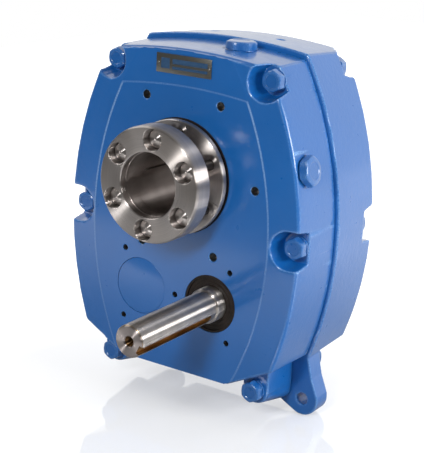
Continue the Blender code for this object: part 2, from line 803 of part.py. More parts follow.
def taper_bushing():
    profile = (
        (FLANGE_RADIUS - EDGE, FLANGE_FRONT),
        (FLANGE_RADIUS, FLANGE_FRONT + EDGE),
        (FLANGE_RADIUS, FLANGE_BACK - 1.0),
        (FLANGE_RADIUS - 1.0, FLANGE_BACK),
        (SLEEVE_FRONT_RADIUS, FLANGE_BACK),
        (SLEEVE_BACK_RADIUS, SLEEVE_END),
        (BORE_RADIUS, SLEEVE_END),
        (BORE_RADIUS, FLANGE_FRONT + RELIEF_DEPTH),
        (RELIEF_RADIUS, FLANGE_FRONT + RELIEF_DEPTH),
        (RELIEF_RADIUS, FLANGE_FRONT + 0.8),
        (RELIEF_RADIUS + 0.8, FLANGE_FRONT),
    )
    part = turned("taper_bushing", profile, 36, "machined")
    seat = FLANGE_FRONT + COUNTERBORE_DEPTH
    mouths = [(x, z, COUNTERBORE_RADIUS, (FLANGE_FRONT - 1, seat)) for x, z in screw_places()]
    boolean(part, cylinders("bushing_counterbores", mouths, 14))
    through = [(x, z, SCREW_RADIUS + 0.8, (seat - 1, FLANGE_BACK + 1)) for x, z in screw_places()]
    boolean(part, cylinders("bushing_screw_holes", through, 8))
    length = SLEEVE_END + 2 - SLIT_FRONT
    turn = Matrix.Rotation(-SLIT_ANGLE, 4, "Y")
    middle = (SLEEVE_FRONT_RADIUS, SLIT_FRONT + length / 2, 0.0)
    slit = box("bushing_slit", (16.0, length, SLIT_WIDTH), middle, turn)
    boolean(part, add_cutter("bushing_slit", slit))
    bake(part)


def bushing_screws():
    points = 12
    seat = FLANGE_FRONT + COUNTERBORE_DEPTH - GAP
    top = seat - SCREW_HEAD
    end = COLLAR_BACK - GAP
    rings = (
        hexagon(SCREW_SOCKET, top + SCREW_SOCKET_DEPTH, points),
        hexagon(SCREW_SOCKET, top, points),
        circle(SCREW_HEAD_RADIUS - 0.8, top, points),
        circle(SCREW_HEAD_RADIUS, top + 0.8, points),
        circle(SCREW_HEAD_RADIUS, seat, points),
        circle(SCREW_RADIUS, seat, points),
        circle(SCREW_RADIUS, end, points),
    )
    for i, axis in enumerate(screw_places()):
        name = f"bushing_screw_{i + 1}"
        add_part(name, loft(name, rings), "dark_steel", axis)


def thrust_collar():
    """Two half rings whose lip sits in the hub's groove, tapped for the bushing screws."""
    lip = (COLLAR_FRONT + 1.6, COLLAR_BACK - 1.2)
    profile = (
        (FLANGE_RADIUS - 0.6, COLLAR_FRONT),
        (FLANGE_RADIUS, COLLAR_FRONT + 0.6),
        (FLANGE_RADIUS, COLLAR_BACK),
        (COLLAR_BORE, COLLAR_BACK),
        (COLLAR_BORE, lip[1]),
        (COLLAR_LIP, lip[1]),
        (COLLAR_LIP, lip[0]),
        (COLLAR_BORE, lip[0]),
        (COLLAR_BORE, COLLAR_FRONT),
    )
    through = (COLLAR_FRONT - 1, COLLAR_BACK + 1)
    rows = [(x, z, SCREW_RADIUS + GAP, through) for x, z in screw_places()]
    holes = cylinders("collar_holes", rows, 8)
    reach = 2 * FLANGE_RADIUS + 10
    for name, side in (("thrust_collar_upper", -1), ("thrust_collar_lower", 1)):
        part = turned(name, profile, 36, "machined")
        boolean(part, holes)
        turn = Matrix.Rotation(-COLLAR_SPLIT, 4, "Y")
        middle = (0.0, (COLLAR_FRONT + COLLAR_BACK) / 2, side * (reach / 2 - GAP / 2))
        half = box(name + "_cut", (reach, 20.0, reach), middle, turn)
        boolean(part, add_cutter(name + "_cut", half))
        bake(part)


def output_hub():
    nose = COLLAR_FRONT
    groove = (COLLAR_FRONT + 1.6 - GAP, COLLAR_BACK - 1.2 + GAP)
    back_seat = OUTPUT_BEARING_Y[1][0] - GAP
    profile = (
        (HUB_NOSE_RADIUS, nose),
        (HUB_NOSE_RADIUS, groove[0]),
        (HUB_GROOVE_RADIUS, groove[0]),
        (HUB_GROOVE_RADIUS, groove[1]),
        (HUB_NOSE_RADIUS, groove[1]),
        (HUB_NOSE_RADIUS, COLLAR_BACK + GAP),
        (HUB_RADIUS, COLLAR_BACK + GAP),
        (HUB_RADIUS, OUTPUT_BEARING_Y[0][1] + GAP),
        (HUB_SEAT_RADIUS, OUTPUT_BEARING_Y[0][1] + GAP),
        (HUB_SEAT_RADIUS, STAGE_2_Y[1] + GAP),
        (HUB_SHOULDER_RADIUS, STAGE_2_Y[1] + GAP),
        (HUB_SHOULDER_RADIUS, 100.0),
        (HUB_SEAT_RADIUS, 100.0),
        (HUB_SEAT_RADIUS, back_seat),
        (HUB_RADIUS, back_seat),
        (HUB_RADIUS, HUB_END - 1.0),
        (HUB_RADIUS - 1.0, HUB_END),
        (HUB_BACK_BORE, HUB_END),
        (HUB_BACK_BORE, SLEEVE_END + 2),
        (sleeve_radius(SLEEVE_END) + GAP, SLEEVE_END + 2),
        (sleeve_radius(nose) + GAP, nose),
    )
    part = turned("output_hub", profile, 28, "machined")
    keyed = (STAGE_2_Y[0] + 1, STAGE_2_Y[1] - 1)
    cut_keyway(part, "hub_keyway", HUB_SEAT_RADIUS, keyed, OUTPUT_KEY)
    bake(part)


def key_box(name, radius, depths, key, slack):
    """A box astride a shaft's surface, wider and deeper by the slack."""
    width, deep, proud, angle = key
    size = (deep + proud + 2 * slack, depths[1] - depths[0] + 2 * slack, width + 2 * slack)
    middle = (radius + (proud - deep) / 2, sum(depths) / 2, 0.0)
    return box(name, size, middle, Matrix.Rotation(-angle, 4, "Y"))


def cut_keyway(part, name, radius, depths, key):
    mesh = key_box(name, radius, depths, key, GAP)
    cutter = add_cutter(name, mesh)
    cutter.location = part.location
    boolean(part, cutter)


def roller_set(name, bearing, depths, axis, rollers):
    """Rollers held in their cage, as one ring with a lobe for each roller."""
    low = (bearing[1] + GAP) / math.cos(math.pi / (2 * rollers))
    high = bearing[2] - GAP
    valley = low + (high - low) * CAGE_SHARE
    front = depths[0] + CAGE_INSET
    back = depths[1] - CAGE_INSET
    outer = []
    inner = []
    for i in range(2 * rollers):
        angle = math.tau * i / (2 * rollers)
        radius = valley if i % 2 else high
        outer.append((radius * math.cos(angle), radius * math.sin(angle)))
        inner.append((low * math.cos(angle), low * math.sin(angle)))
    low_ring = [ring(inner, y) for y in (back, front)]
    rings = [ring(outer, front), ring(outer, back), *low_ring]
    add_part(name, loft(name, rings, ring_shaped=True), "dark_steel", axis)


def bearing_rings(prefix, bearing, depths, axis, segments, rollers):
    inner_radius, inner_top, outer_low, outer_radius = bearing
    facets = 1.0 / math.cos(math.pi / segments)
    outer = (
        (outer_radius, depths[0]),
        (outer_radius, depths[1]),
        (outer_low * facets, depths[1]),
        (outer_low * facets, depths[0]),
    )
    inner = (
        (inner_top, depths[0]),
        (inner_top, depths[1]),
        (inner_radius * facets, depths[1]),
        (inner_radius * facets, depths[0]),
    )
    turned(prefix + "_outer_ring", outer, segments, "ground", axis)
    turned(prefix + "_inner_ring", inner, segments, "ground", axis)
    roller_set(prefix + "_rollers", bearing, depths, axis, rollers)


def output_bearings():
    for place, depths in zip(("front", "rear"), OUTPUT_BEARING_Y):
        bearing_rings(f"output_bearing_{place}", OUTPUT_BEARING, depths, OUTPUT, 24, 12)


def shaft_bearings():
    for place, depths in zip(("front", "rear"), SMALL_BEARING_Y):
        bearing_rings(f"countershaft_bearing_{place}", SMALL_BEARING, depths, COUNTER, 16, 9)
    bearing_rings("input_bearing_front", INPUT_BEARING, SMALL_BEARING_Y[0], INPUT, 16, 9)
    bearing_rings("input_bearing_rear", SMALL_BEARING, SMALL_BEARING_Y[1], INPUT, 16, 9)


def output_seals():
    """Lip seals: a case with a recessed face."""
    lip = HUB_RADIUS + GAP + 0.1
    for name, front, back in (("output_seal_front", 0.5, 10.5), ("output_seal_rear", 133.5, 124.8)):
        way = 1.0 if back > front else -1.0
        profile = [
            (SEAL_RADIUS, front),
            (SEAL_RADIUS, back),
            (lip, back),
            (lip, front + way * 1.5),
            (SEAL_RADIUS - 3.0, front + way * 1.5),
            (SEAL_RADIUS - 3.0, front),
        ]
        if way < 0:
            profile = [profile[1], profile[0], *reversed(profile[2:])]
        turned(name, profile, 28, "rubber")


# Gears


def involute(radius, pitch_radius):
    base = pitch_radius * math.cos(PRESSURE)
    angle = math.acos(min(1.0, base / radius))
    return math.tan(angle) - angle


def tooth_half_angle(radius, pitch_radius, teeth):
    """Half the angle that a tooth covers at a radius."""
    at_pitch = math.pi / (2 * teeth) - TOOTH_THINNING / 2 / pitch_radius
    return at_pitch + involute(pitch_radius, pitch_radius) - involute(radius, pitch_radius)


def gear_ring(teeth, pitch_radius, tip, root, phase, y):
    """One section of a gear, with a tooth centred on the phase angle."""
    levels = (root, pitch_radius, tip)
    halves = [tooth_half_angle(radius, pitch_radius, teeth) for radius in levels]
    flank = list(zip(levels, halves))
    points = []
    for i in range(teeth):
        centre = phase + math.tau * i / teeth
        rising = [(radius, centre - half) for radius, half in flank]
        falling = [(radius, centre + half) for radius, half in reversed(flank)]
        for radius, angle in rising + falling:
            points.append((radius * math.cos(angle), y, radius * math.sin(angle)))
    return points


def gear_mesh(name, teeth, module, phase, depths, hand, steps):
    """A helical gear body. Its teeth are centred on the phase angle halfway along its face."""
    pitch_radius = teeth * module / 2
    tip = pitch_radius + TIP_HEIGHT * module
    root = pitch_radius - ROOT_DEPTH * module
    twist = hand * math.tan(HELIX) / pitch_radius
    rings = []
    for i in range(steps + 1):
        y = depths[0] + (depths[1] - depths[0]) * i / steps
        turn = phase + twist * (y - sum(depths) / 2)
        rings.append(gear_ring(teeth, pitch_radius, tip, root, turn, y))
    return loft(name, rings)


def direction(start, end):
    return math.atan2(end[1] - start[1], end[0] - start[0])


def gap_phase(angle, teeth):
    """Centres a tooth gap, instead of a tooth, on an angle."""
    return angle + math.pi / teeth


def output_gear():
    phase = gap_phase(direction(OUTPUT, COUNTER), WHEEL_2)
    mesh = gear_mesh("output_gear", WHEEL_2, MODULE_2, phase, STAGE_2_Y, -1, 1)
    part = add_part("output_gear", mesh, "dark_steel")
    bore = [(*OUTPUT, HUB_SEAT_RADIUS + GAP, (STAGE_2_Y[0] - 1, STAGE_2_Y[1] + 1))]
    boolean(part, cylinders("output_gear_bore", bore, 40))
    through = (STAGE_2_Y[0] - 2, STAGE_2_Y[1] + 2)
    cut_keyway(part, "output_gear_keyway", HUB_SEAT_RADIUS, through, OUTPUT_KEY)
    bake(part)
    depths = (STAGE_2_Y[0] + 1, STAGE_2_Y[1] - 1)
    key = key_box("output_gear_key", HUB_SEAT_RADIUS, depths, OUTPUT_KEY, 0.0)
    add_part("output_gear_key", key, "ground")


def countershaft_gear():
    phase = gap_phase(direction(COUNTER, INPUT), WHEEL_1)
    mesh = gear_mesh("countershaft_gear", WHEEL_1, MODULE_1, phase, STAGE_1_Y, 1, 1)
    part = add_part("countershaft_gear", mesh, "dark_steel", COUNTER)
    bore = [(*COUNTER, COUNTER_SEAT_RADIUS + GAP, (STAGE_1_Y[0] - 1, STAGE_1_Y[1] + 1))]
    boolean(part, cylinders("countershaft_gear_bore", bore, 32))
    through = (STAGE_1_Y[0] - 2, STAGE_1_Y[1] + 2)
    cut_keyway(part, "countershaft_gear_keyway", COUNTER_SEAT_RADIUS, through, COUNTER_KEY)
    bake(part)
    depths = (STAGE_1_Y[0] + 1, STAGE_1_Y[1] - 1)
    key = key_box("countershaft_key", COUNTER_SEAT_RADIUS, depths, COUNTER_KEY, 0.0)
    add_part("countershaft_key", key, "ground", COUNTER)


def countershaft():
    front = SMALL_BEARING_Y[0][0]
    front_seat = SMALL_BEARING_Y[0][1] + GAP
    back_seat = SMALL_BEARING_Y[1][0] - GAP
    journal = SMALL_BEARING[0] - GAP
    collar = COUNTER_SEAT_RADIUS + 1.0
    profile = (
        (0.0, front),
        (journal - 1.0, front),
        (journal, front + 1.0),
        (journal, front_seat),
        (COUNTER_SEAT_RADIUS, front_seat),
        (COUNTER_SEAT_RADIUS, STAGE_1_Y[1] + GAP),
        (collar, STAGE_1_Y[1] + GAP),
        (collar, STAGE_2_Y[1] + 6),
        (collar - 1.0, back_seat),
        (journal, back_seat),
        (journal, SMALL_BEARING_Y[1][1] - 1.0),
        (journal - 1.0, SMALL_BEARING_Y[1][1]),
        (0.0, SMALL_BEARING_Y[1][1]),
    )
    part = turned("countershaft", profile, 24, "machined", COUNTER, closed=False)
    phase = direction(COUNTER, OUTPUT)
    teeth = gear_mesh("countershaft_pinion", PINION_2, MODULE_2, phase, STAGE_2_Y, 1, 2)
    boolean(part, add_cutter("countershaft_pinion", teeth, COUNTER), "UNION")
    keyed = (STAGE_1_Y[0] + 1, STAGE_1_Y[1] - 1)
    cut_keyway(part, "countershaft_keyway", COUNTER_SEAT_RADIUS, keyed, COUNTER_KEY)
    bake(part)


def input_shaft():
    front_seat = SMALL_BEARING_Y[0][1] + GAP
    back_seat = SMALL_BEARING_Y[1][0] - GAP
    journal = INPUT_BEARING[0] - GAP
    rear_journal = SMALL_BEARING[0] - GAP
    profile = (
        (0.0, SHAFT_END + CENTRE_HOLE_DEPTH + 1.5),
        (CENTRE_HOLE_RADIUS, SHAFT_END + CENTRE_HOLE_DEPTH),
        (CENTRE_HOLE_RADIUS, SHAFT_END + 2.0),
        (CENTRE_HOLE_RADIUS + 1.2, SHAFT_END),
        (SHAFT_RADIUS - EDGE, SHAFT_END),
        (SHAFT_RADIUS, SHAFT_END + EDGE),
        (SHAFT_RADIUS, SHOULDER_Y),
        (SHOULDER_RADIUS - 0.6, SHOULDER_Y),
        (SHOULDER_RADIUS, SHOULDER_Y + 0.6),
        (SHOULDER_RADIUS, SMALL_BEARING_Y[0][0] - GAP),
        (journal, SMALL_BEARING_Y[0][0] - GAP),
        (journal, front_seat),
        (journal + 1.2, front_seat),
        (journal + 1.2, 27.0),
        (NECK_RADIUS, 28.0),
        (NECK_RADIUS, STAGE_1_Y[1] + 2),
        (REAR_SEAT_RADIUS, STAGE_1_Y[1] + 4),
        (REAR_SEAT_RADIUS, back_seat),
        (rear_journal, back_seat),
        (rear_journal, SMALL_BEARING_Y[1][1] - 1.0),
        (rear_journal - 1.0, SMALL_BEARING_Y[1][1]),
        (0.0, SMALL_BEARING_Y[1][1]),
    )
    part = turned("input_shaft", profile, 24, "ground", INPUT, closed=False)
    phase = direction(INPUT, COUNTER)
    teeth = gear_mesh("input_pinion", PINION_1, MODULE_1, phase, STAGE_1_Y, -1, 2)
    boolean(part, add_cutter("input_pinion", teeth, INPUT), "UNION")
    boolean(part, input_keyway())
    bake(part)


def input_keyway():
    """A slot open at the shaft's end, with a round inner end."""
    floor = SHAFT_RADIUS - KEYWAY_DEPTH
    shape = bmesh.new()
    length = KEYWAY_END - SHAFT_END - KEYWAY_WIDTH / 2
    verts = bmesh.ops.create_cone(
        shape,
        cap_ends=True,
        segments=16,
        radius1=KEYWAY_WIDTH / 2 * MM,
        radius2=KEYWAY_WIDTH / 2 * MM,
        depth=10.0 * MM,
    )["verts"]
    for vert in verts:
        if vert.co.y < -WELD:
            vert.co.y -= (length + 10.0) * MM
    place = Matrix.Translation(Vector((0.0, KEYWAY_END - KEYWAY_WIDTH / 2, floor + 5.0)) * MM)
    turn = Matrix.Rotation(math.pi / 2 - KEYWAY_ANGLE, 4, "Y")
    bmesh.ops.transform(shape, matrix=turn @ place, verts=shape.verts)
    return add_cutter("input_keyway", to_mesh("input_keyway", shape), INPUT)


# Covers and the input seal


def shaft_covers():
    rows = (
        ("countershaft_cover_front", COUNTER, 0.2),
        ("countershaft_cover_rear", COUNTER, BACK_Y - COVER_THICKNESS - 0.2),
        ("input_cover_rear", INPUT, BACK_Y - COVER_THICKNESS - 0.2),
    )
    for name, axis, front in rows:
        back = front + COVER_THICKNESS
        profile = (
            (0.0, front),
            (COVER_RADIUS - 0.3, front),
            (COVER_RADIUS, front + 0.3),
            (COVER_RADIUS, back),
            (0.0, back),
        )
        turned(name, profile, 20, "paint", axis, closed=False)


def input_seal():
    lip = SHOULDER_RADIUS + GAP + 0.1
    profile = (
        (COVER_RADIUS, 0.3),
        (COVER_RADIUS, 7.6),
        (lip, 7.6),
        (lip, 1.3),
        (lip + 1.6, 1.3),
        (lip + 2.4, 2.3),
        (COVER_RADIUS - 2.2, 2.3),
        (COVER_RADIUS - 2.0, 0.3),
    )
    turned("input_seal", profile, 20, "rubber", INPUT)


def shade(part):
    part.data.shade_smooth()
    part.data.set_sharp_from_angle(angle=SHARP_ANGLE)


def build():
    front_housing()
    rear_housing()
    housing_fasteners()
    oil_plugs()
    nameplate()
    taper_bushing()
    bushing_screws()
    thrust_collar()
    output_hub()
    output_gear()
    output_bearings()
    output_seals()
    countershaft()
    countershaft_gear()
    input_shaft()
    shaft_bearings()
    shaft_covers()
    input_seal()
    for part in PARTS.objects:
        if part.modifiers:
            bake(part)
        shade(part)


build()
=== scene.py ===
import math

import bmesh
import bpy
import numpy as np
from mathutils import Matrix, Vector


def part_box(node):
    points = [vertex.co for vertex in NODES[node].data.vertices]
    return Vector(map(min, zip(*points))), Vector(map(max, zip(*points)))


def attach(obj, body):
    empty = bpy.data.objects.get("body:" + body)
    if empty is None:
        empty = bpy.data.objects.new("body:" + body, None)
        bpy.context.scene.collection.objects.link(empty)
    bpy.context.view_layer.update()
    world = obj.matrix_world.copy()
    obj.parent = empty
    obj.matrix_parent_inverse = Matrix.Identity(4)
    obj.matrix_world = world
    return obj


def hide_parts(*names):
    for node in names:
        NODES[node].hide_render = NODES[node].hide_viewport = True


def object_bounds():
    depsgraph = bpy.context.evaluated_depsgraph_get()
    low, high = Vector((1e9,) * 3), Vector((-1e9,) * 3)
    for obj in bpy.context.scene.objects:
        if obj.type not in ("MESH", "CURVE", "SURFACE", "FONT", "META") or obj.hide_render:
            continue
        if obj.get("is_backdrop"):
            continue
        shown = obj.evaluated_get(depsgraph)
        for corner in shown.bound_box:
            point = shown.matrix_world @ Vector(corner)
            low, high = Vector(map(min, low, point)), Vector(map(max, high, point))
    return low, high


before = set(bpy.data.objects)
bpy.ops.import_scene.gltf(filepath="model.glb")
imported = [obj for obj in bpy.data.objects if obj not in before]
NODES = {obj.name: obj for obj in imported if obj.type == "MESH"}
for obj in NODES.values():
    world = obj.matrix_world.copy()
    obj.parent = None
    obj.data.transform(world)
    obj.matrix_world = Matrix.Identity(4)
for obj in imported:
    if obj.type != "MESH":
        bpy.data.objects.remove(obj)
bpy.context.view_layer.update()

# Sizes of pieces are in millimetres. Lengths inside a material, and in the studio, are in metres.
# The front is towards -Y, and every shaft lies along Y.
MM = 0.001


def axis_of(node):
    """The (x, z) centre of a round CAD node."""
    low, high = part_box(node)
    middle = (low + high) / 2 / MM
    return (middle.x, middle.z)


def depth_of(node):
    """Where a CAD node starts and ends along Y."""
    low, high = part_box(node)
    return (low.y / MM, high.y / MM)


# Axes of the shafts
OUTPUT = (0.0, 0.0)
INPUT = axis_of("input_bearing_front_outer_ring")
COUNTER = axis_of("countershaft_bearing_front_outer_ring")

# Housing walls: arcs as (centre x, centre z, radius at the front), and their growth as (y, more radius)
SIDE_ARC = (-199.0, -50.0, 320.0)
TOP_ARC = (0.0, -398.0, 508.0)
FRONT_GROWTH = ((2.5, 0.0), (63.0, 1.573))
REAR_SIDE_GROWTH = ((63.0, 4.873), (131.5, 3.1))
REAR_TOP_GROWTH = ((63.0, 6.573), (131.5, 3.1))
FRONT_Y = 0.0
BACK_Y = depth_of("rear_housing")[1]

# Edges of the machined front face, as (centre x, centre z, radius)
FACE_SIDE_ARC = (-195.5, -50.0, 288.0)
FACE_TOP_ARC = (0.0, -398.0, 476.5)

# Casting: voxel size, smoothing, share of faces kept, and how near to its true place a point must be
VOXEL = 0.9
SMOOTHING = 0.5
SMOOTHING_TURNS = 4
KEPT_FACES = 0.3
NEAR_ARC = 0.7
NEAR_PLANE = 0.14
FACING_ARC = 0.9
FACING_BLEND = 0.08
FLAT = 0.9994

# Bores of the housing, as (radius, depth) of the output's and of the two small ones
BORE_FILLS = ((60.0, 9.0), (30.0, 6.5))
FRONT_BORES = ((51.3, 10.9), (26.3, 8.0))
REAR_BORES = ((51.3, 9.6), (26.3, 8.0))

# Tapped holes in the front face
FACE_HOLE_CIRCLE = 76.6
FACE_HOLE = (3.8, 12.0)
SMALL_HOLE_CIRCLE = 37.5
SMALL_HOLE_ANGLE = math.pi / 3
SMALL_HOLE = (2.5, 10.0)
HOLE_FILL = 2.0

# Fasteners
BOLT_NAMES = ("top_left", "top_right", "middle_left", "middle_right", "bottom_left", "bottom_right")
BOLT_FLATS = 17.5
BOLT_HEAD = 8.0
BOLT_RAISE = 1.8
BOLT_RADIUS = 6.0
WASHER_RADIUS = 9.5
WASHER_THICKNESS = 1.6
NUT_FLATS = 19.0
NUT_BORE = 6.35
PLUG_FLATS = 24.0
PLUG_HEAD = 8.0
PLUG_RADIUS = 8.0
PLUG_LENGTH = 17.0
HEXAGON_CORNER = 1.135
RING_POINTS = 48
FASTENER_ANGLE = 25.0
SMOOTH_ANGLE = 35.0

# Bushing, its screws and the thrust collar
FLANGE_FRONT = depth_of("taper_bushing")[0]
FLANGE_THICKNESS = 19.4
FLANGE_RADIUS = 50.5
FLANGE_SEGMENTS = 144
BORE = 27.78
RELIEF = 28.4
RELIEF_DEPTH = 7.5
SLEEVE_RADII = (31.0, 29.8)
SCREW_NODES = [f"bushing_screw_{i}" for i in range(1, 7)]
SCREW_CIRCLE = 39.6
SCREW_PHASE = math.radians(25.5)
SCREW_HEAD = 5.0
SCREW_HEAD_RADIUS = 8.0
SCREW_RADIUS = 4.7
SCREW_CROWN = FLANGE_FRONT + 4.6
COUNTERBORE = 9.2
COUNTERBORE_DEPTH = 16.5
SLIT_ANGLE = math.radians(174.0)
SLIT_FRONT = -13.4
SLIT_WIDTH = 1.8
COLLAR_BORE = 34.3
COLLAR_LIP = 33.5
COLLAR_SPLIT = math.radians(20.0)
COLLAR_GAP = 0.15

# Input shaft: the drawn end stops at the join, where the CAD's pinion end takes over
SHAFT_END = depth_of("input_shaft")[0]
SHAFT_RADIUS = 14.0
SHOULDER_RADIUS = 15.7
JOIN_RADIUS = 15.4
SHAFT_JOIN = 4.0
SHAFT_SEGMENTS = 160
KEYWAY_WIDTH = 8.0
KEYWAY_END = -16.0
KEYWAY_ANGLE = math.radians(-26.0)
KEYWAY_HEIGHTS = (10.0, 20.0)
KEYWAY_STEPS = 24

# Seals and covers
OUTPUT_SEAL = (51.0, 40.1)
INPUT_SEAL = (26.0, 16.1)
COVER_RADIUS = 26.0

# Nameplate, with its long fields as (x, place above the middle, width, height)
PLATE_FIELDS = ((6.5, 2.2, 36.0, 4.2), (6.5, -3.4, 36.0, 2.4))
PLATE_BADGE = 9.0
PLATE_BADGE_INSET = 9.5
PLATE_INK = 0.16
RIVET_INSET = 2.4

# Colours of the blue enamel, among them painted shade and painted highlights
BLUE_LOW = (0.0045, 0.115, 0.405)
BLUE_HIGH = (0.0070, 0.140, 0.475)
BLUE_SMEAR = (0.02, 0.15, 0.46)
# Painted light: a darker blue for shade in corners, and a paler blue for glints on edges
BLUE_PAINTED_SHADE = (0.003, 0.045, 0.17)
BLUE_PAINTED_GLINT = (0.20, 0.43, 0.80)
# Painted highlight along the edge of the machined front face
BLUE_EDGE_HIGHLIGHT = (0.30, 0.50, 0.82)
WHITE = (1.0, 1.0, 1.0, 1.0)

# Counterbores: circle radius, angle of the first, count, radius of each, and depth of the mouth
CUPS = (SCREW_CIRCLE, SCREW_PHASE, len(SCREW_NODES), COUNTERBORE + 0.15, FLANGE_FRONT + 0.3)

# Recesses, stained or darkened by painted shade: inner and outer radius, place along the axis where
# they start, and their two colours
# Oil and painted shade darken the output bore
BORE_OIL_AND_SHADE = (20.0, 28.6, FLANGE_FRONT + 0.9, (0.30, 0.26, 0.24), (0.50, 0.445, 0.42))
END_STAIN = (-1.0, 13.0, -1000.0, (0.27, 0.235, 0.225), (0.40, 0.355, 0.34))
KEYWAY_STAIN = (5.5, 13.4, SHAFT_END + 0.6, (0.16, 0.085, 0.035), (0.42, 0.27, 0.12))
# Painted shade darkens the shaft's centre hole
HOLE_SHADE = (-1.0, 4.4, SHAFT_END + 0.6, (0.06, 0.035, 0.015), (0.16, 0.09, 0.04))

# Room brightness as (from, to, level at from, level at to) along the direction's Y and Z
ROOM_DEPTH = (-0.20, 0.75, 0.14, 1.0)
ROOM_HEIGHT = (-0.5, 0.9, 0.85, 1.0)

# Softboxes: direction from the gearbox, size, watts, and roll in degrees
LIGHTS = {
    "overhead": ((-0.72, -0.22, 0.66), (0.8, 0.8), 4.5, 0.0),
    "front_strip": ((0.15, -0.88, 0.45), (0.6, 0.14), 10.5, 48.0),
    "right_panel": ((0.95, 0.12, 0.28), (0.8, 0.40), 15.0, 0.0),
}
LIGHT_DISTANCE = 1.5
LIGHT_TARGET = Vector((0.0, 0.0, -0.05))

# Floor: lowest and highest x and y, thickness, and the gap under the gearbox
FLOOR_REACH = (-1.6, 2.2, -0.45, 3.0)
FLOOR_THICKNESS = 0.004
FLOOR_GAP = 0.0006

# The view: azimuth from -Y towards +X, elevation and roll in degrees, and the place in the view plane
AZIMUTH = math.radians(32.673)
ELEVATION = math.radians(16.228)
ROLL = math.radians(2.865)
DISTANCE = 1.08406
SHIFT = (0.030358, -0.042598)
LENS = 105.99
SENSOR = 36.0
CLIP_END = 50.0


# Node helpers


class Graph:
    """Short calls for the nodes of a material or of the world."""

    def __init__(self, tree):
        self.tree = tree

    def add(self, kind, settings=None, **inputs):
        node = self.tree.nodes.new(kind)
        for key, value in (settings or {}).items():
            setattr(node, key, value)
        for key, value in inputs.items():
            self.feed(node.inputs[key.replace("_", " ")], value)
        return node

    def feed(self, socket, value):
        """Links a socket to an output, or gives it a plain value."""
        if isinstance(value, bpy.types.NodeSocket):
            self.tree.links.new(value, socket)
        else:
            socket.default_value = value

    def combine(self, kind, operation, first, second):
        node = self.add(kind, {"operation": operation})
        self.feed(node.inputs[0], first)
        self.feed(node.inputs[1], second)
        return node.outputs[0]

    def math(self, operation, first, second=0.0):
        return self.combine("ShaderNodeMath", operation, first, second)

    def vector(self, operation, first, second):
        return self.combine("ShaderNodeVectorMath", operation, first, second)

    def plus(self, first, second):
        return self.math("ADD", first, second)

    def minus(self, first, second):
        return self.math("SUBTRACT", first, second)

    def times(self, first, second):
        return self.math("MULTIPLY", first, second)

    def above(self, value, limit):
        return self.math("GREATER_THAN", value, limit)

    def below(self, value, limit):
        return self.math("LESS_THAN", value, limit)

    def length(self, x, z):
        """The length of a vector in the XZ plane."""
        return self.math("SQRT", self.plus(self.times(x, x), self.times(z, z)))

    def span(self, value, low, high, out_low, out_high, curve="LINEAR"):
        """Maps a value from one range to another, and holds it at the ends."""
        node = self.add("ShaderNodeMapRange", {"interpolation_type": curve})
        for socket, number in zip(node.inputs, (value, low, high, out_low, out_high)):
            self.feed(socket, number)
        return node.outputs[0]

    def split(self, vector):
        return self.add("ShaderNodeSeparateXYZ", Vector=vector).outputs

    def join(self, x, y, z):
        return self.add("ShaderNodeCombineXYZ", X=x, Y=y, Z=z).outputs[0]

    def mix(self, factor, first, second):
        """A mix of two colours, each a socket or an (r, g, b)."""
        node = self.add("ShaderNodeMix", {"data_type": "RGBA"}, Factor=factor)
        for name, colour in (("A", first), ("B", second)):
            self.feed(node.inputs[name], (*colour, 1.0) if isinstance(colour, tuple) else colour)
        return node.outputs["Result"]

    def noise(self, vector, scale, detail=3.0, roughness=0.5):
        settings = {"Vector": vector, "Scale": scale, "Detail": detail, "Roughness": roughness}
        return self.add("ShaderNodeTexNoise", **settings).outputs["Fac"]

    def bump(self, height, distance, strength=1.0, normal=None):
        node = self.add("ShaderNodeBump", Height=height, Distance=distance, Strength=strength)
        if normal is not None:
            self.feed(node.inputs["Normal"], normal)
        return node.outputs["Normal"]

    def seen(self):
        """1 for what the camera sees directly, and 0 for light on its way elsewhere."""
        return self.add("ShaderNodeLightPath").outputs["Is Camera Ray"]


class Shader(Graph):
    """A material with one Principled shader."""

    def __init__(self, name):
        self.material = bpy.data.materials.new(name)
        self.material.use_nodes = True
        super().__init__(self.material.node_tree)
        self.main = self.tree.nodes["Principled BSDF"]

    def place(self):
        return self.add("ShaderNodeTexCoord").outputs["Object"]

    def stretched(self, vector, scale):
        return self.add("ShaderNodeMapping", Vector=vector, Scale=scale).outputs[0]

    def set(self, **inputs):
        for key, value in inputs.items():
            self.feed(self.main.inputs[key.replace("_", " ")], value)


def scaled(colour, *shares):
    """A colour times one share, or times a share for each channel."""
    shares = shares if len(shares) == len(colour) else shares * len(colour)
    return tuple(min(1.0, channel * share) for channel, share in zip(colour, shares))


# Blue enamel


def past_arc(s, x, z, arc):
    """How far a point lies outside an arc in the XZ plane."""
    away = s.length(s.minus(x, arc[0] * MM), s.minus(z, arc[1] * MM))
    return s.minus(away, arc[2] * MM)


def face_edge_highlight(s, x, y, z):
    """How strongly a painted highlight line shows along the edge of the machined face, brighter higher
    up, and the height of its rounded crest.
    """
    mirrored = s.math("ABSOLUTE", x)
    past_side = past_arc(s, mirrored, z, FACE_SIDE_ARC)
    past_top = past_arc(s, mirrored, z, FACE_TOP_ARC)
    past = s.math("MAXIMUM", past_side, past_top)
    front = s.span(y, 0.0006, 0.0014, 1.0, 0.0)
    lit = s.times(s.span(z, -0.07, 0.05, 0.3, 1.0), front)
    lit = s.times(lit, s.span(s.minus(past_top, past_side), -0.002, 0.001, 1.0, 0.3))
    # Painted highlight line along the face edge, stronger where it is lit from above
    near = s.times(s.span(s.math("ABSOLUTE", past), 0.0004, 0.0012, 1.0, 0.0), lit)
    crest = s.times(s.span(past, -0.0007, 0.0007, 1.0, 0.0), front)
    return near, crest


def enamel(s, at, smear, dark):
    """The paint's own blue, cloudy and a little smeared."""
    blue = s.mix(s.noise(at, 14.0, 3.0), scaled(BLUE_LOW, dark), scaled(BLUE_HIGH, dark))
    return s.mix(s.span(smear, 0.35, 0.75, 0.0, 0.12), blue, BLUE_SMEAR)


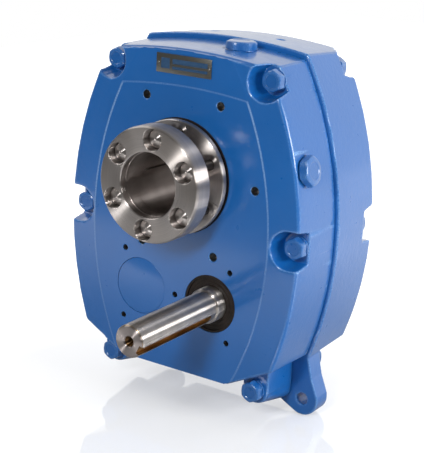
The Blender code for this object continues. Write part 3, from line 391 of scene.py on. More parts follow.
def painted_shade_and_glints(s, blue, y, sparkle, painted_light):
    """Painted shade in corners and painted glints on edges, away from the machined front face."""
    edges = s.add("ShaderNodeNewGeometry").outputs["Pointiness"]
    as_cast = s.span(y, 0.0002, 0.0005, 0.0, 1.0)
    # Painted shade: darker blue where the surface is concave
    deep = s.times(s.span(edges, 0.20, 0.34, 0.4 * painted_light, 0.0), as_cast)
    # Painted glints: paler blue flecks where the surface is convex
    edge_glints = s.times(s.span(edges, 0.51, 0.56, 0.0, 1.0), s.span(sparkle, 0.40, 0.60, 0.1, 1.0))
    painted_glint = s.times(edge_glints, s.times(as_cast, painted_light))
    return s.mix(painted_glint, s.mix(deep, blue, BLUE_PAINTED_SHADE), BLUE_PAINTED_GLINT)


def orange_peel(s, at, y, cast):
    """The height of the paint: peel, the casting's grain and low lumps, fading on the machined face."""
    peel = s.noise(at, 420.0, 2.0)
    grain = s.noise(at, 1300.0, 2.0, 0.6)
    lumps = s.noise(at, 170.0, 2.0)
    height = s.plus(s.times(peel, 0.7), s.times(grain, cast))
    height = s.plus(height, s.times(lumps, 0.9))
    return s.times(height, s.span(y, 0.0002, 0.0012, 0.12, 1.0))


def paint(name, cast=0.25, dark=1.0, edge_highlight=False, painted_light=1.0):
    """Semi-gloss blue enamel on cast iron, with painted shade in corners and painted glints on edges.
    One with an edge highlight gets a painted highlight line along the edge of the machined front face.
    """
    s = Shader(name)
    at = s.place()
    x, y, z = s.split(at)
    smear = s.noise(at, 75.0, 4.0, 0.6)
    sparkle = s.noise(at, 900.0, 3.0, 0.7)
    # Painted shade in corners and painted glints on edges
    blue = painted_shade_and_glints(s, enamel(s, at, smear, dark), y, sparkle, painted_light)
    normal = None
    if edge_highlight:
        near, crest = face_edge_highlight(s, x, y, z)
        normal = s.bump(crest, 0.0004)
        # Painted highlight: paler blue along the face edge
        blue = s.mix(s.times(near, s.span(sparkle, 0.35, 0.65, 0.2, 1.0)), blue, BLUE_EDGE_HIGHLIGHT)
    s.set(
        Base_Color=blue,
        Roughness=s.span(smear, 0.25, 0.8, 0.26, 0.38),
        Normal=s.bump(orange_peel(s, at, y, cast), 0.00028, 0.75, normal),
        Specular_IOR_Level=0.5,
        Coat_Weight=0.9,
        Coat_Roughness=0.14,
    )
    return s.material


# Metal


def into_cups(s, x, y, z, cups):
    """Inside the counterbores, measures x and z from the nearest counterbore's own axis."""
    circle_radius, first, count, cup_radius, mouth = cups
    pitch = math.tau / count
    turns = s.math("ROUND", s.math("DIVIDE", s.minus(s.math("ARCTAN2", z, x), first), pitch))
    angle = s.plus(s.times(turns, pitch), first)
    near_x = s.minus(x, s.times(s.math("COSINE", angle), circle_radius * MM))
    near_z = s.minus(z, s.times(s.math("SINE", angle), circle_radius * MM))
    in_circle = s.below(s.length(near_x, near_z), cup_radius * MM)
    inside = s.times(in_circle, s.above(y, mouth * MM))
    outside = s.minus(1.0, inside)
    new_x = s.plus(s.times(x, outside), s.times(near_x, inside))
    new_z = s.plus(s.times(z, outside), s.times(near_z, inside))
    return new_x, new_z


def polar(s, centre, cups=None):
    """Radius from a shaft's axis, place along it, the direction round it, and the point from it."""
    point = s.vector("SUBTRACT", s.place(), (centre[0] * MM, 0.0, centre[1] * MM))
    x, y, z = s.split(point)
    if cups:
        x, z = into_cups(s, x, y, z, cups)
        point = s.join(x, y, z)
    turn = s.add(
        "ShaderNodeVectorTransform",
        {"vector_type": "VECTOR", "convert_from": "OBJECT", "convert_to": "WORLD"},
        Vector=s.vector("CROSS_PRODUCT", (0.0, 1.0, 0.0), point),
    )
    return s.length(x, z), y, turn.outputs[0], point


def steel_tint(s, colour, fine, broad, patch):
    tint = s.mix(s.span(broad, 0.3, 0.7, 0.0, 1.0), scaled(colour, 0.84), scaled(colour, 1.12))
    tint = s.mix(s.span(patch, 0.4, 0.75, 0.0, 0.35), tint, scaled(colour, 0.88, 0.80, 0.70))
    return s.mix(s.span(fine, 0.35, 0.65, 0.0, 0.35), tint, scaled(colour, 0.62))


def stains_and_shade(s, tint, radius, along, patch, recesses):
    """Colours the metal inside each recess: stains, and painted shade in the deep bore and hole."""
    for inner, outer, start, deep, pale in recesses:
        between = s.times(s.above(radius, inner * MM), s.below(radius, outer * MM))
        inside = s.times(between, s.above(along, start * MM))
        tint = s.mix(inside, tint, s.mix(s.span(patch, 0.35, 0.65, 0.0, 1.0), deep, pale))
    return tint


def turned_steel(name, centre, colour, rough, pitch, relief, brushed=1.0, cups=None, recesses=()):
    """Lathe-turned steel, brushed round its axis, with rings that hardly change round it."""
    s = Shader(name)
    radius, along, round_way, point = polar(s, centre, cups)
    line = s.join(radius, along, 0.0)
    fine = s.noise(line, 1.0 / (pitch * MM), 2.0)
    broad = s.noise(line, 90.0, 2.0)
    patch = s.noise(point, 28.0, 3.0)
    ringed = s.span(fine, 0.3, 0.7, rough - 0.05, rough + 0.06)
    tint = steel_tint(s, colour, fine, broad, patch)
    s.set(
        # Stains and painted shade in the recesses
        Base_Color=stains_and_shade(s, tint, radius, along, patch, recesses),
        Metallic=1.0,
        Roughness=s.plus(ringed, s.span(patch, 0.3, 0.8, 0.0, 0.05)),
        Anisotropic=brushed,
        Anisotropic_Rotation=0.25,
        Tangent=round_way,
        Normal=s.bump(fine, relief, 0.6),
    )
    return s.material


def milled_steel(name, colour, rough):
    """Steel with short cloudy machining marks, for gears, rings, keys and tapped holes."""
    s = Shader(name)
    at = s.place()
    marks = s.noise(s.stretched(at, (1.0, 9.0, 1.0)), 320.0, 3.0)
    s.set(
        Base_Color=s.mix(s.noise(at, 60.0, 3.0), scaled(colour, 0.82), scaled(colour, 1.12)),
        Metallic=1.0,
        Roughness=s.span(marks, 0.3, 0.7, rough - 0.06, rough + 0.08),
        Normal=s.bump(marks, 0.00002, 0.5),
    )
    return s.material


def black_oxide(name):
    """Blackened steel with a thin, patchy film of oil."""
    s = Shader(name)
    film = s.noise(s.place(), 260.0, 3.0, 0.6)
    s.set(
        Base_Color=s.mix(film, (0.010, 0.008, 0.007), (0.035, 0.028, 0.024)),
        Metallic=0.4,
        Roughness=s.span(film, 0.3, 0.7, 0.28, 0.5),
        Normal=s.bump(film, 0.00003, 0.5),
    )
    return s.material


def brushed_plate(name):
    """Etched nameplate metal, brushed along its length."""
    s = Shader(name)
    at = s.place()
    lines = s.noise(s.stretched(at, (1.0, 1.0, 30.0)), 130.0, 3.0)
    tint = s.mix(lines, (0.12, 0.125, 0.12), (0.24, 0.235, 0.21))
    cloud = s.span(s.noise(at, 120.0, 2.0), 0.4, 0.8, 0.0, 0.5)
    s.set(
        Base_Color=s.mix(cloud, tint, (0.17, 0.15, 0.12)),
        Metallic=0.9,
        Roughness=s.span(lines, 0.3, 0.7, 0.28, 0.42),
        Normal=s.bump(lines, 0.00002, 0.5),
    )
    return s.material


# Rubber and ink


def seal_rubber(name, centre):
    """Dark brown nitrile with moulded rings and a little dust."""
    s = Shader(name)
    radius, along, _, point = polar(s, centre)
    rings = s.noise(s.join(radius, along, 0.0), 900.0, 2.0)
    dust = s.noise(point, 220.0, 4.0, 0.65)
    dusty = s.span(dust, 0.35, 0.75, 0.0, 1.0)
    s.set(
        Base_Color=s.mix(dusty, (0.012, 0.008, 0.006), (0.034, 0.023, 0.018)),
        Roughness=s.span(dust, 0.3, 0.7, 0.40, 0.66),
        Specular_IOR_Level=0.3,
        Normal=s.bump(s.plus(rings, dust), 0.00006, 0.7),
    )
    return s.material


def etched_ink(name):
    """Dark fill of the plate's plain ruled fields."""
    s = Shader(name)
    speckle = s.noise(s.place(), 600.0, 3.0)
    s.set(
        Base_Color=s.mix(speckle, (0.012, 0.050, 0.120), (0.035, 0.100, 0.210)),
        Roughness=s.span(speckle, 0.3, 0.7, 0.35, 0.5),
    )
    return s.material


# The fasteners get less painted shade and glints, and the covers none
PAINT = paint("blue_enamel", edge_highlight=True)
PAINT_FASTENER = paint("blue_enamel_fasteners", cast=0.5, dark=0.9, painted_light=0.3)
PAINT_COVER = paint("blue_enamel_covers", cast=0.1, painted_light=0.0)
STEEL = turned_steel(
    "turned_steel_output",
    OUTPUT,
    colour=(0.59, 0.545, 0.52),
    rough=0.31,
    pitch=0.35,
    relief=0.00003,
    cups=CUPS,
    recesses=(BORE_OIL_AND_SHADE,),
)
SHAFT = turned_steel(
    "ground_steel_input",
    INPUT,
    colour=(0.52, 0.485, 0.46),
    rough=0.32,
    pitch=0.22,
    relief=0.000012,
    recesses=(END_STAIN, KEYWAY_STAIN, HOLE_SHADE),
)
COUNTER_STEEL = turned_steel(
    "turned_steel_countershaft",
    COUNTER,
    colour=(0.46, 0.45, 0.44),
    rough=0.35,
    pitch=0.3,
    relief=0.00002,
    brushed=0.8,
)
GEAR = milled_steel("gear_steel", (0.30, 0.29, 0.28), 0.34)
RING = milled_steel("bearing_steel", (0.58, 0.57, 0.56), 0.16)
BLACK = black_oxide("black_oxide_screws")
SEAL_OUTPUT = seal_rubber("seal_rubber_output", OUTPUT)
SEAL_INPUT = seal_rubber("seal_rubber_input", INPUT)
PLATE = brushed_plate("nameplate_metal")
INK = etched_ink("nameplate_fields")


# Mesh helpers


def link(name, mesh, material):
    piece = bpy.data.objects.new(name, mesh)
    mesh.materials.clear()
    mesh.materials.append(material)
    bpy.context.scene.collection.objects.link(piece)
    return piece


def finish_mesh(shape, name):
    mesh = bpy.data.meshes.new(name)
    shape.to_mesh(mesh)
    shape.free()
    return mesh


def soften(mesh, angle=SMOOTH_ANGLE):
    mesh.shade_smooth()
    mesh.set_sharp_from_angle(angle=math.radians(angle))


def copy_of(node, name):
    """A welded copy of a CAD node's mesh, free to be worked on."""
    shape = bmesh.new()
    shape.from_mesh(NODES[node].data)
    bmesh.ops.remove_doubles(shape, verts=shape.verts, dist=0.000002)
    mesh = finish_mesh(shape, name)
    for extra in ("custom_normal", "sharp_face"):
        if extra in mesh.attributes:
            mesh.attributes.remove(mesh.attributes[extra])
    return mesh


def apply(piece):
    """Makes a piece's modifiers part of its mesh."""
    graph = bpy.context.evaluated_depsgraph_get()
    mesh = bpy.data.meshes.new_from_object(piece.evaluated_get(graph))
    piece.modifiers.clear()
    piece.data = mesh


def boolean(piece, mesh, operation="DIFFERENCE"):
    """Cuts or joins a mesh, and takes the tool away again."""
    tool = bpy.data.objects.new("tool", mesh)
    bpy.context.scene.collection.objects.link(tool)
    modifier = piece.modifiers.new("boolean", "BOOLEAN")
    modifier.operation = operation
    modifier.solver = "MANIFOLD"
    modifier.object = tool
    apply(piece)
    bpy.data.objects.remove(tool)


def bevelled(piece, width, segments):
    bevel = piece.modifiers.new("bevel", "BEVEL")
    bevel.width = width * MM
    bevel.segments = segments
    apply(piece)


def cones(rows, segments=RING_POINTS):
    """One tool of separate cones along Y, from rows of (axis, (radii), (start, stop))."""
    shape = bmesh.new()
    for axis, radii, depths in rows:
        place = Matrix.Translation(Vector((axis[0], sum(depths) / 2, axis[1])) * MM)
        bmesh.ops.create_cone(
            shape,
            cap_ends=True,
            segments=segments,
            radius1=radii[0] * MM,
            radius2=radii[1] * MM,
            depth=(depths[1] - depths[0]) * MM,
            matrix=place @ Matrix.Rotation(-math.pi / 2, 4, "X"),
        )
    return finish_mesh(shape, "cones")


def bars(rows, turn=Matrix.Identity(4)):
    """A mesh of separate boxes, from rows of (middle, size), turned about the origin."""
    shape = bmesh.new()
    for middle, size in rows:
        scale = Matrix.Diagonal((*(Vector(size) * MM), 1.0))
        place = Matrix.Translation(Vector(middle) * MM)
        bmesh.ops.create_cube(shape, size=1.0, matrix=turn @ place @ scale)
    return finish_mesh(shape, "bars")


def around(axis, radius, angle):
    return (axis[0] + radius * math.cos(angle), axis[1] + radius * math.sin(angle))


def circle(radius, y, axis, points=RING_POINTS):
    spots = [around(axis, radius, math.tau * i / points) for i in range(points)]
    return [(x, y, z) for x, z in spots]


def circles(axis, *rows):
    """Rings from rows of (radius, y)."""
    return [circle(radius, y, axis) for radius, y in rows]


def hexagon(radius, y, axis, points=RING_POINTS):
    """A ring of points on a hexagon with rounded corners, by half its width across flats."""
    ring = []
    for i in range(points):
        angle = math.tau * i / points
        off = (angle + math.pi / 6) % (math.pi / 3) - math.pi / 6
        reach = min(radius / math.cos(off), radius * HEXAGON_CORNER)
        x, z = around(axis, reach, angle)
        ring.append((x, y, z))
    return ring


def halfway(first, second):
    """The ring half way between two rings."""
    return [tuple(a * 0.5 + b * 0.5 for a, b in zip(*pair)) for pair in zip(first, second)]


def bridge(shape, near, far):
    """Faces between two rings. A ring of one point is a tip."""
    count = max(len(near), len(far))
    if count == 1:
        return
    for i in range(count):
        j = (i + 1) % count
        if len(near) == 1:
            shape.faces.new((near[0], far[j], far[i]))
        elif len(far) == 1:
            shape.faces.new((near[i], near[j], far[0]))
        else:
            shape.faces.new((near[i], near[j], far[j], far[i]))


def skin(rings, closed=False):
    """A solid through rings of points, with its two ends filled, or joined when it is closed."""
    shape = bmesh.new()
    loops = [[shape.verts.new(Vector(point) * MM) for point in ring] for ring in rings]
    pairs = list(zip(loops, loops[1:]))
    if closed:
        pairs.append((loops[-1], loops[0]))
    else:
        shape.faces.new(reversed(loops[0]))
        shape.faces.new(loops[-1])
    for near, far in pairs:
        bridge(shape, near, far)
    bmesh.ops.recalc_face_normals(shape, faces=shape.faces)
    return finish_mesh(shape, "skin")


def rounded(profile, radius, steps=3):
    """Rounds the corners of a closed profile of (radius, y) points, except on the axis."""
    points = []
    count = len(profile)
    for i, corner in enumerate(profile):
        here = Vector(corner)
        before = Vector(profile[i - 1]) - here
        after = Vector(profile[(i + 1) % count]) - here
        cut = min(radius, before.length * 0.4, after.length * 0.4)
        if here.x <= 0.0 or cut <= 0.0:
            points.append(corner)
            continue
        start = here + before.normalized() * cut
        end = here + after.normalized() * cut
        for step in range(steps + 1):
            t = step / steps
            spot = start * (1 - t) ** 2 + here * 2 * t * (1 - t) + end * t**2
            points.append((spot.x, spot.y))
    return points


def turned(name, profile, axis, material, segments=96):
    """A turned piece from a closed profile of (radius, y) points that runs front to back outside."""
    rings = []
    for radius, y in profile:
        tip = [(axis[0], y, axis[1])]
        rings.append(circle(radius, y, axis, segments) if radius > 0.0 else tip)
    return link(name, skin(rings, closed=True), material)


def tie(piece, body, slot, *nodes):
    """Ties a piece to its body and hides the CAD nodes it replaces; the slot is not used."""
    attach(piece, body)
    if nodes:
        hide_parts(*nodes)


def done(piece, body, slot, *nodes, angle=SMOOTH_ANGLE):
    """Shades a piece and ties it."""
    soften(piece.data, angle)
    tie(piece, body, slot, *nodes)


# Castings


def bore_tools(face, inward, outside, large, small):
    """Cylinders in the three bores behind a face, by (radius, depth), reaching a way outside it."""
    rows = []
    for axis, (radius, depth) in ((OUTPUT, large), (INPUT, small), (COUNTER, small)):
        ends = sorted((face - inward * outside, face + inward * depth))
        rows.append((axis, (radius, radius), ends))
    return rows


def face_holes():
    """Tapped holes in the front face, as (axis, radius, depth)."""
    rows = [(around(OUTPUT, FACE_HOLE_CIRCLE, math.tau * i / 6), *FACE_HOLE) for i in range(6)]
    rows.append(((0.0, INPUT[1]), *SMALL_HOLE))
    for angle in (SMALL_HOLE_ANGLE, -SMALL_HOLE_ANGLE):
        x, z = around(INPUT, SMALL_HOLE_CIRCLE, angle)
        rows += [((x, z), *SMALL_HOLE), ((-x, z), *SMALL_HOLE)]
    return rows


def read(items, field):
    """A field of three numbers of a mesh's vertices or faces, as rows."""
    values = np.empty(len(items) * 3, dtype=np.float32)
    items.foreach_get(field, values)
    return values.reshape(-1, 3)


def pull_to_arc(points, normals, centre, radius):
    """Moves the points that lie nearly on a wall's arc onto it."""
    away = points[:, [0, 2]] - np.array(centre)
    reach = np.linalg.norm(away, axis=1)
    away /= reach[:, None]
    facing = (normals[:, [0, 2]] * away).sum(axis=1)
    miss = radius - reach
    share = np.clip((facing - FACING_ARC) / FACING_BLEND, 0.0, 1.0) * (np.abs(miss) < NEAR_ARC)
    points[:, [0, 2]] += away * (miss * share)[:, None]


def true_walls(mesh, growths):
    """Puts the walls on the true arcs that the CAD's flat facets follow."""
    points = read(mesh.vertices, "co") / MM
    normals = read(mesh.vertices, "normal")
    sides, top = (np.interp(points[:, 1], *zip(*growth)) for growth in growths)
    for side in (1.0, -1.0):
        pull_to_arc(points, normals, (side * SIDE_ARC[0], SIDE_ARC[1]), SIDE_ARC[2] + sides)
    pull_to_arc(points, normals, TOP_ARC[:2], TOP_ARC[2] + top)
    mesh.vertices.foreach_set("co", (points * MM).ravel())
    snap_faces(mesh)


def snap_faces(mesh):
    """Puts the points of the machined faces on their planes."""
    points = read(mesh.vertices, "co")
    for plane in (FRONT_Y * MM, BACK_Y * MM):
        points[np.abs(points[:, 1] - plane) < NEAR_PLANE * MM, 1] = plane
    mesh.vertices.foreach_set("co", points.ravel())
    mesh.update()


def cast(piece, growths):
    """Gives the sharp CAD shape the rounded edges and corners of a casting."""
    remesh = piece.modifiers.new("remesh", "REMESH")
    remesh.mode = "VOXEL"
    remesh.voxel_size = VOXEL * MM
    smooth = piece.modifiers.new("smooth", "SMOOTH")
    smooth.factor = SMOOTHING
    smooth.iterations = SMOOTHING_TURNS
    apply(piece)
    true_walls(piece.data, growths)
    thin = piece.modifiers.new("decimate", "DECIMATE")
    thin.ratio = KEPT_FACES
    apply(piece)
    snap_faces(piece.data)


def even_out(mesh):
    """Smooth shading, except on the machined faces, which look truly flat."""
    soften(mesh)
    normals = np.zeros((len(mesh.loops), 3), dtype=np.float32)
    for face in mesh.polygons:
        if abs(face.normal.y) > FLAT:
            stop = face.loop_start + face.loop_total
            normals[face.loop_start : stop, 1] = math.copysign(1.0, face.normal.y)
    mesh.normals_split_custom_set(normals)


def blacken_holes(mesh):
    """The threads of the tapped holes are bare, dark and oily."""
    mesh.materials.clear()
    mesh.materials.append(PAINT)
    mesh.materials.append(GEAR)
    centres = read(mesh.polygons, "center") / MM
    bare = np.zeros(len(centres), dtype=np.int32)
    for axis, radius, depth in face_holes():
        away = np.hypot(centres[:, 0] - axis[0], centres[:, 2] - axis[1])
        inside = (away < radius + 0.02) & (centres[:, 1] > 1.0) & (centres[:, 1] < depth + 0.1)
        bare |= inside.astype(np.int32)
    mesh.polygons.foreach_set("material_index", bare)


def front_casting():
    """The front half. Its bores and holes are filled while it is smoothed, then cut sharply."""
    piece = link("front_casting", copy_of("front_housing", "front_casting"), PAINT)
    boolean(piece, cones(bore_tools(FRONT_Y, 1, 0.0, *BORE_FILLS)), "UNION")
    fills, holes, sinks = [], [], []
    for axis, radius, depth in face_holes():
        fills.append((axis, (radius + HOLE_FILL,) * 2, (0.0, depth - 1.0)))
        holes.append((axis, (radius, radius), (-1.0, depth)))
        sinks.append((axis, (radius * 1.3, radius * 0.85), (-0.4, 1.4)))
    boolean(piece, cones(fills, 24), "UNION")
    cast(piece, (FRONT_GROWTH, FRONT_GROWTH))
    boolean(piece, cones(bore_tools(FRONT_Y, 1, 1.0, *FRONT_BORES), 128))
    boolean(piece, cones(holes, 32))
    boolean(piece, cones(sinks, 32))
    blacken_holes(piece.data)
    tie(piece, "housing", "paint", "front_housing")
    even_out(piece.data)


def rear_casting():
    piece = link("rear_casting", copy_of("rear_housing", "rear_casting"), PAINT)
    boolean(piece, cones(bore_tools(BACK_Y, -1, 0.0, *BORE_FILLS)), "UNION")
    cast(piece, (REAR_SIDE_GROWTH, REAR_TOP_GROWTH))
    boolean(piece, cones(bore_tools(BACK_Y, -1, 1.0, *REAR_BORES), 128))
    tie(piece, "housing", "paint", "rear_housing")
    even_out(piece.data)


# Fasteners


def head_rings(flats, top, seat, axis):
    """A chamfered hexagon head with a small washer face, from its top down to its seat."""
    half = flats / 2
    way = 1.0 if seat > top else -1.0
    dish = ((0.60, 0.35), (0.66, 0.0), (0.90, 0.05), (0.97, 0.45))
    rings = [circle(half * share, top + way * drop, axis) for share, drop in dish]
    chamfer = top + way * 0.9
    rings.append(halfway(circle(half, chamfer, axis), hexagon(half, chamfer, axis)))
    rings += [
        hexagon(half, top + way * 2.2, axis),
        hexagon(half, seat - way * 1.0, axis),
        hexagon(half - 0.35, seat - way * 0.45, axis),
        circle(half * 0.98, seat - way * 0.4, axis),
        circle(half * 0.98, seat, axis),
    ]
    return rings


def housing_bolt(name, node):
    axis = axis_of(node)
    top, end = depth_of(node)
    seat = top + BOLT_HEAD
    rings = head_rings(BOLT_FLATS, top - BOLT_RAISE, seat - WASHER_THICKNESS, axis)
    rings += circles(
        axis,
        (WASHER_RADIUS - 0.2, seat - WASHER_THICKNESS),
        (WASHER_RADIUS, seat - WASHER_THICKNESS + 0.2),
        (WASHER_RADIUS, seat),
        (BOLT_RADIUS, seat),
        (BOLT_RADIUS, end - 1.0),
        (BOLT_RADIUS - 1.0, end),
    )
    piece = link("hex_bolt_" + name, skin(rings), PAINT_FASTENER)
    done(piece, "housing", "paint", node, angle=FASTENER_ANGLE)


def housing_nut(name, node):
    axis = axis_of(node)
    front, back = depth_of(node)
    rings = head_rings(NUT_FLATS, back, front, axis)[2:]
    rings += circles(axis, (NUT_BORE, front), (NUT_BORE, back))
    piece = link("hex_nut_" + name, skin(rings, closed=True), PAINT_FASTENER)
    done(piece, "housing", "paint", node, angle=FASTENER_ANGLE)


def housing_fasteners():
    for name in BOLT_NAMES:
        housing_bolt(name, "housing_bolt_" + name)
        housing_nut(name, "housing_nut_" + name)


def plug_facing(node, middle):
    """The direction that a plug's head faces. The level plug sits on the curved side wall."""
    if node == "breather_plug":
        return Vector((0.0, 0.0, 1.0))
    if node == "drain_plug":
        return Vector((0.0, 0.0, -1.0))
    angle = math.asin((middle.z / MM - SIDE_ARC[1]) / SIDE_ARC[2])
    return Vector((math.cos(angle), 0.0, math.sin(angle)))


def oil_plugs():
    """Hexagon plugs: built along Y, then turned to face out of their walls."""
    for node in ("breather_plug", "level_plug", "drain_plug"):
        low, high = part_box(node)
        middle = (low + high) / 2
        facing = plug_facing(node, middle)
        rings = head_rings(PLUG_FLATS, 0.0, PLUG_HEAD, (0.0, 0.0))
        rings += circles((0.0, 0.0), (PLUG_RADIUS, PLUG_HEAD), (PLUG_RADIUS, PLUG_LENGTH))
        piece = link(node.replace("_plug", "_hex_plug"), skin(rings), PAINT_FASTENER)
        turn = Vector((0.0, 1.0, 0.0)).rotation_difference(-facing).to_matrix().to_4x4()
        place = Matrix.Translation(middle + facing * PLUG_LENGTH / 2 * MM)
        piece.data.transform(place @ turn)
        done(piece, "housing", "paint", node, angle=FASTENER_ANGLE)


# Output side


def bushing_profile(front, back, end):
    """The flange, the sleeve that tapers behind it, and the bore with its wider mouth."""
    return [
        (FLANGE_RADIUS - 1.3, front),
        (FLANGE_RADIUS - 0.4, front + 0.9),
        (FLANGE_RADIUS - 0.4, front + 1.8),
        (FLANGE_RADIUS, front + 2.2),
        (FLANGE_RADIUS, back - 0.6),
        (FLANGE_RADIUS - 0.6, back),
        (SLEEVE_RADII[0], back),
        (SLEEVE_RADII[1], end),
        (BORE, end),
        (BORE, front + RELIEF_DEPTH),
        (RELIEF, front + RELIEF_DEPTH),
        (RELIEF, front + 0.8),
        (RELIEF + 0.8, front),
    ]


def bushing():
    front, end = depth_of("taper_bushing")
    back = front + FLANGE_THICKNESS
    profile = rounded(bushing_profile(front, back, end), 0.35)
    piece = turned("flanged_bushing", profile, OUTPUT, STEEL, FLANGE_SEGMENTS)
    axes = [axis_of(node) for node in SCREW_NODES]
    seat = front + COUNTERBORE_DEPTH
    for radii, depths, segments in (
        ((COUNTERBORE, COUNTERBORE), (front - 1.0, seat), 64),
        ((COUNTERBORE + 0.9, COUNTERBORE - 0.1), (front - 0.4, front + 0.6), 64),
        ((5.5, 5.5), (seat - 1.0, back + 1.0), 32),
    ):
        boolean(piece, cones([(axis, radii, depths) for axis in axes], segments))
    length = end + 2.0 - SLIT_FRONT
    slit = ((SLEEVE_RADII[0], SLIT_FRONT + length / 2, 0.0), (16.0, length, SLIT_WIDTH))
    boolean(piece, bars([slit], Matrix.Rotation(-SLIT_ANGLE, 4, "Y")))
    done(piece, "output", "machined_steel", "taper_bushing")


def socket_screws():
    """Screws with a crowned steel head. Behind the head they are black."""
    for i, node in enumerate(SCREW_NODES):
        top, end = depth_of(node)
        seat = top + SCREW_HEAD
        rings = circles(
            axis_of(node),
            (0.5, SCREW_CROWN + 1.2),
            (0.9, SCREW_CROWN + 0.5),
            (1.3, SCREW_CROWN + 0.3),
            (4.0, SCREW_CROWN + 0.9),
            (6.6, SCREW_CROWN + 1.8),
            (7.7, SCREW_CROWN + 2.6),
            (SCREW_HEAD_RADIUS, SCREW_CROWN + 3.6),
            (SCREW_HEAD_RADIUS, seat),
            (SCREW_RADIUS, seat),
            (SCREW_RADIUS, end - 0.6),
            (SCREW_RADIUS - 0.5, end),
        )
        piece = link(f"socket_screw_{i + 1}", skin(rings), STEEL)
        piece.data.materials.append(BLACK)
        for face in piece.data.polygons:
            face.material_index = int(face.center.y > (seat + 1.0) * MM)
        done(piece, "output", "screw_steel", node)


def thrust_collar():
    """A ring in two halves, with a lip in its bore and holes for the screws."""
    front, back = depth_of("thrust_collar_upper")
    profile = [
        (FLANGE_RADIUS - 0.6, front),
        (FLANGE_RADIUS, front + 0.6),
        (FLANGE_RADIUS, back),
        (COLLAR_BORE, back),
        (COLLAR_BORE, back - 1.2),
        (COLLAR_LIP, back - 1.2),
        (COLLAR_LIP, front + 1.6),
        (COLLAR_BORE, front + 1.6),
        (COLLAR_BORE, front),
    ]
    holes = [(axis_of(node), (5.1, 5.1), (front - 1.0, back + 1.0)) for node in SCREW_NODES]
    block = 112.0
    for half, side in (("upper", -1.0), ("lower", 1.0)):
        name = "collar_half_" + half
        piece = turned(name, rounded(profile, 0.25), OUTPUT, STEEL, FLANGE_SEGMENTS)
        boolean(piece, cones(holes, 32))
        middle = (0.0, (front + back) / 2, side * (block / 2 - COLLAR_GAP))
        turn = Matrix.Rotation(COLLAR_SPLIT, 4, "Y")
        boolean(piece, bars([(middle, (block, 20.0, block))], turn))
        done(piece, "output", "machined_steel", "thrust_collar_" + half)


# Input shaft


def keyway():
    """The tool for a slot open at the shaft's end, with a round inner end."""
    half = KEYWAY_WIDTH / 2
    start = SHAFT_END - 2.0
    flat = [(half, start)]
    for i in range(KEYWAY_STEPS + 1):
        a = math.pi * i / KEYWAY_STEPS
        flat.append((half * math.cos(a), KEYWAY_END - half + half * math.sin(a)))
    flat.append((-half, start))
    across = (-math.sin(KEYWAY_ANGLE), math.cos(KEYWAY_ANGLE))
    rings = []
    for height in KEYWAY_HEIGHTS:
        x, z = around(INPUT, height, KEYWAY_ANGLE)
        rings.append([(x + u * across[0], y, z + u * across[1]) for u, y in flat])
    return skin(rings)


def shaft_profile(end):
    """From the centre hole, along the outside over groove and shoulder, to the join."""
    return [
        (0.0, end + 23.0),
        (2.7, end + 21.5),
        (2.7, end + 3.2),
        (3.1, end + 2.8),
        (4.9, end + 0.2),
        (5.2, end),
        (SHAFT_RADIUS - 1.4, end),
        (SHAFT_RADIUS, end + 1.6),
        (SHAFT_RADIUS, end + 6.4),
        (SHAFT_RADIUS - 0.2, end + 6.6),
        (SHAFT_RADIUS - 0.2, end + 7.2),
        (SHAFT_RADIUS, end + 7.4),
        (SHAFT_RADIUS, -11.6),
        (SHAFT_RADIUS - 0.4, -11.3),
        (SHAFT_RADIUS - 0.4, -9.6),
        (SHOULDER_RADIUS - 0.6, -9.4),
        (SHOULDER_RADIUS, -8.6),
        (SHOULDER_RADIUS, -4.2),
        (SHOULDER_RADIUS - 0.2, -4.0),
        (SHOULDER_RADIUS - 0.2, -3.2),
        (SHOULDER_RADIUS, -3.0),
        (SHOULDER_RADIUS, SHAFT_JOIN),
        (JOIN_RADIUS, SHAFT_JOIN),
        (JOIN_RADIUS, SHAFT_JOIN + 2.0),
        (0.0, SHAFT_JOIN + 2.0),
    ]


def input_shaft():
    """The shaft's free end, turned finely, and the CAD's pinion end behind the seal."""
    profile = rounded(shaft_profile(SHAFT_END), 0.3)
    piece = turned("input_shaft_end", profile, INPUT, SHAFT, SHAFT_SEGMENTS)
    boolean(piece, keyway())
    done(piece, "input", "machined_steel", "input_shaft")
    piece = link("input_pinion_shaft", copy_of("input_shaft", "input_pinion_shaft"), SHAFT)
    boolean(piece, cones([(INPUT, (30.0, 30.0), (SHAFT_END - 2.0, SHAFT_JOIN))]))
    done(piece, "input", "machined_steel", "input_shaft")


# Seals, covers and nameplate


def seal(name, node, axis, radii, material, way):
    """A lip seal: a pressed case, a recessed face with moulded ribs, and a raised lip."""
    outer, inner = radii
    front, back = depth_of(node)[::way]
    face = (
        (inner, 1.2),
        (inner + 1.5, 0.9),
        (inner + 2.6, 2.0),
        (inner + 4.2, 2.0),
        (inner + 4.6, 1.6),
        (inner + 5.2, 1.6),
        (inner + 5.6, 2.0),
        (outer - 2.0, 2.0),
        (outer - 1.7, 0.0),
        (outer - 0.3, 0.0),
    )
    profile = [(outer, front + way * 0.2), (outer, back), (inner, back)]
    profile += [(radius, front + way * depth) for radius, depth in face]
    piece = turned(name, rounded(profile, 0.25), axis, material)
    done(piece, "housing", "seal_rubber", node)


def seals():
    seal("output_lip_seal", "output_seal_front", OUTPUT, OUTPUT_SEAL, SEAL_OUTPUT, 1)
    seal("rear_lip_seal", "output_seal_rear", OUTPUT, OUTPUT_SEAL, SEAL_OUTPUT, -1)
    seal("input_lip_seal", "input_seal", INPUT, INPUT_SEAL, SEAL_INPUT, 1)


def covers():
    """Flush caps over the shaft ends."""
    for node, axis in (
        ("countershaft_cover_front", COUNTER),
        ("countershaft_cover_rear", COUNTER),
        ("input_cover_rear", INPUT),
    ):
        low, high = depth_of(node)
        profile = [(0.0, low), (COVER_RADIUS, low), (COVER_RADIUS, high), (0.0, high)]
        piece = turned("flush_" + node, rounded(profile, 0.35), axis, PAINT_COVER)
        done(piece, "housing", "paint", node)


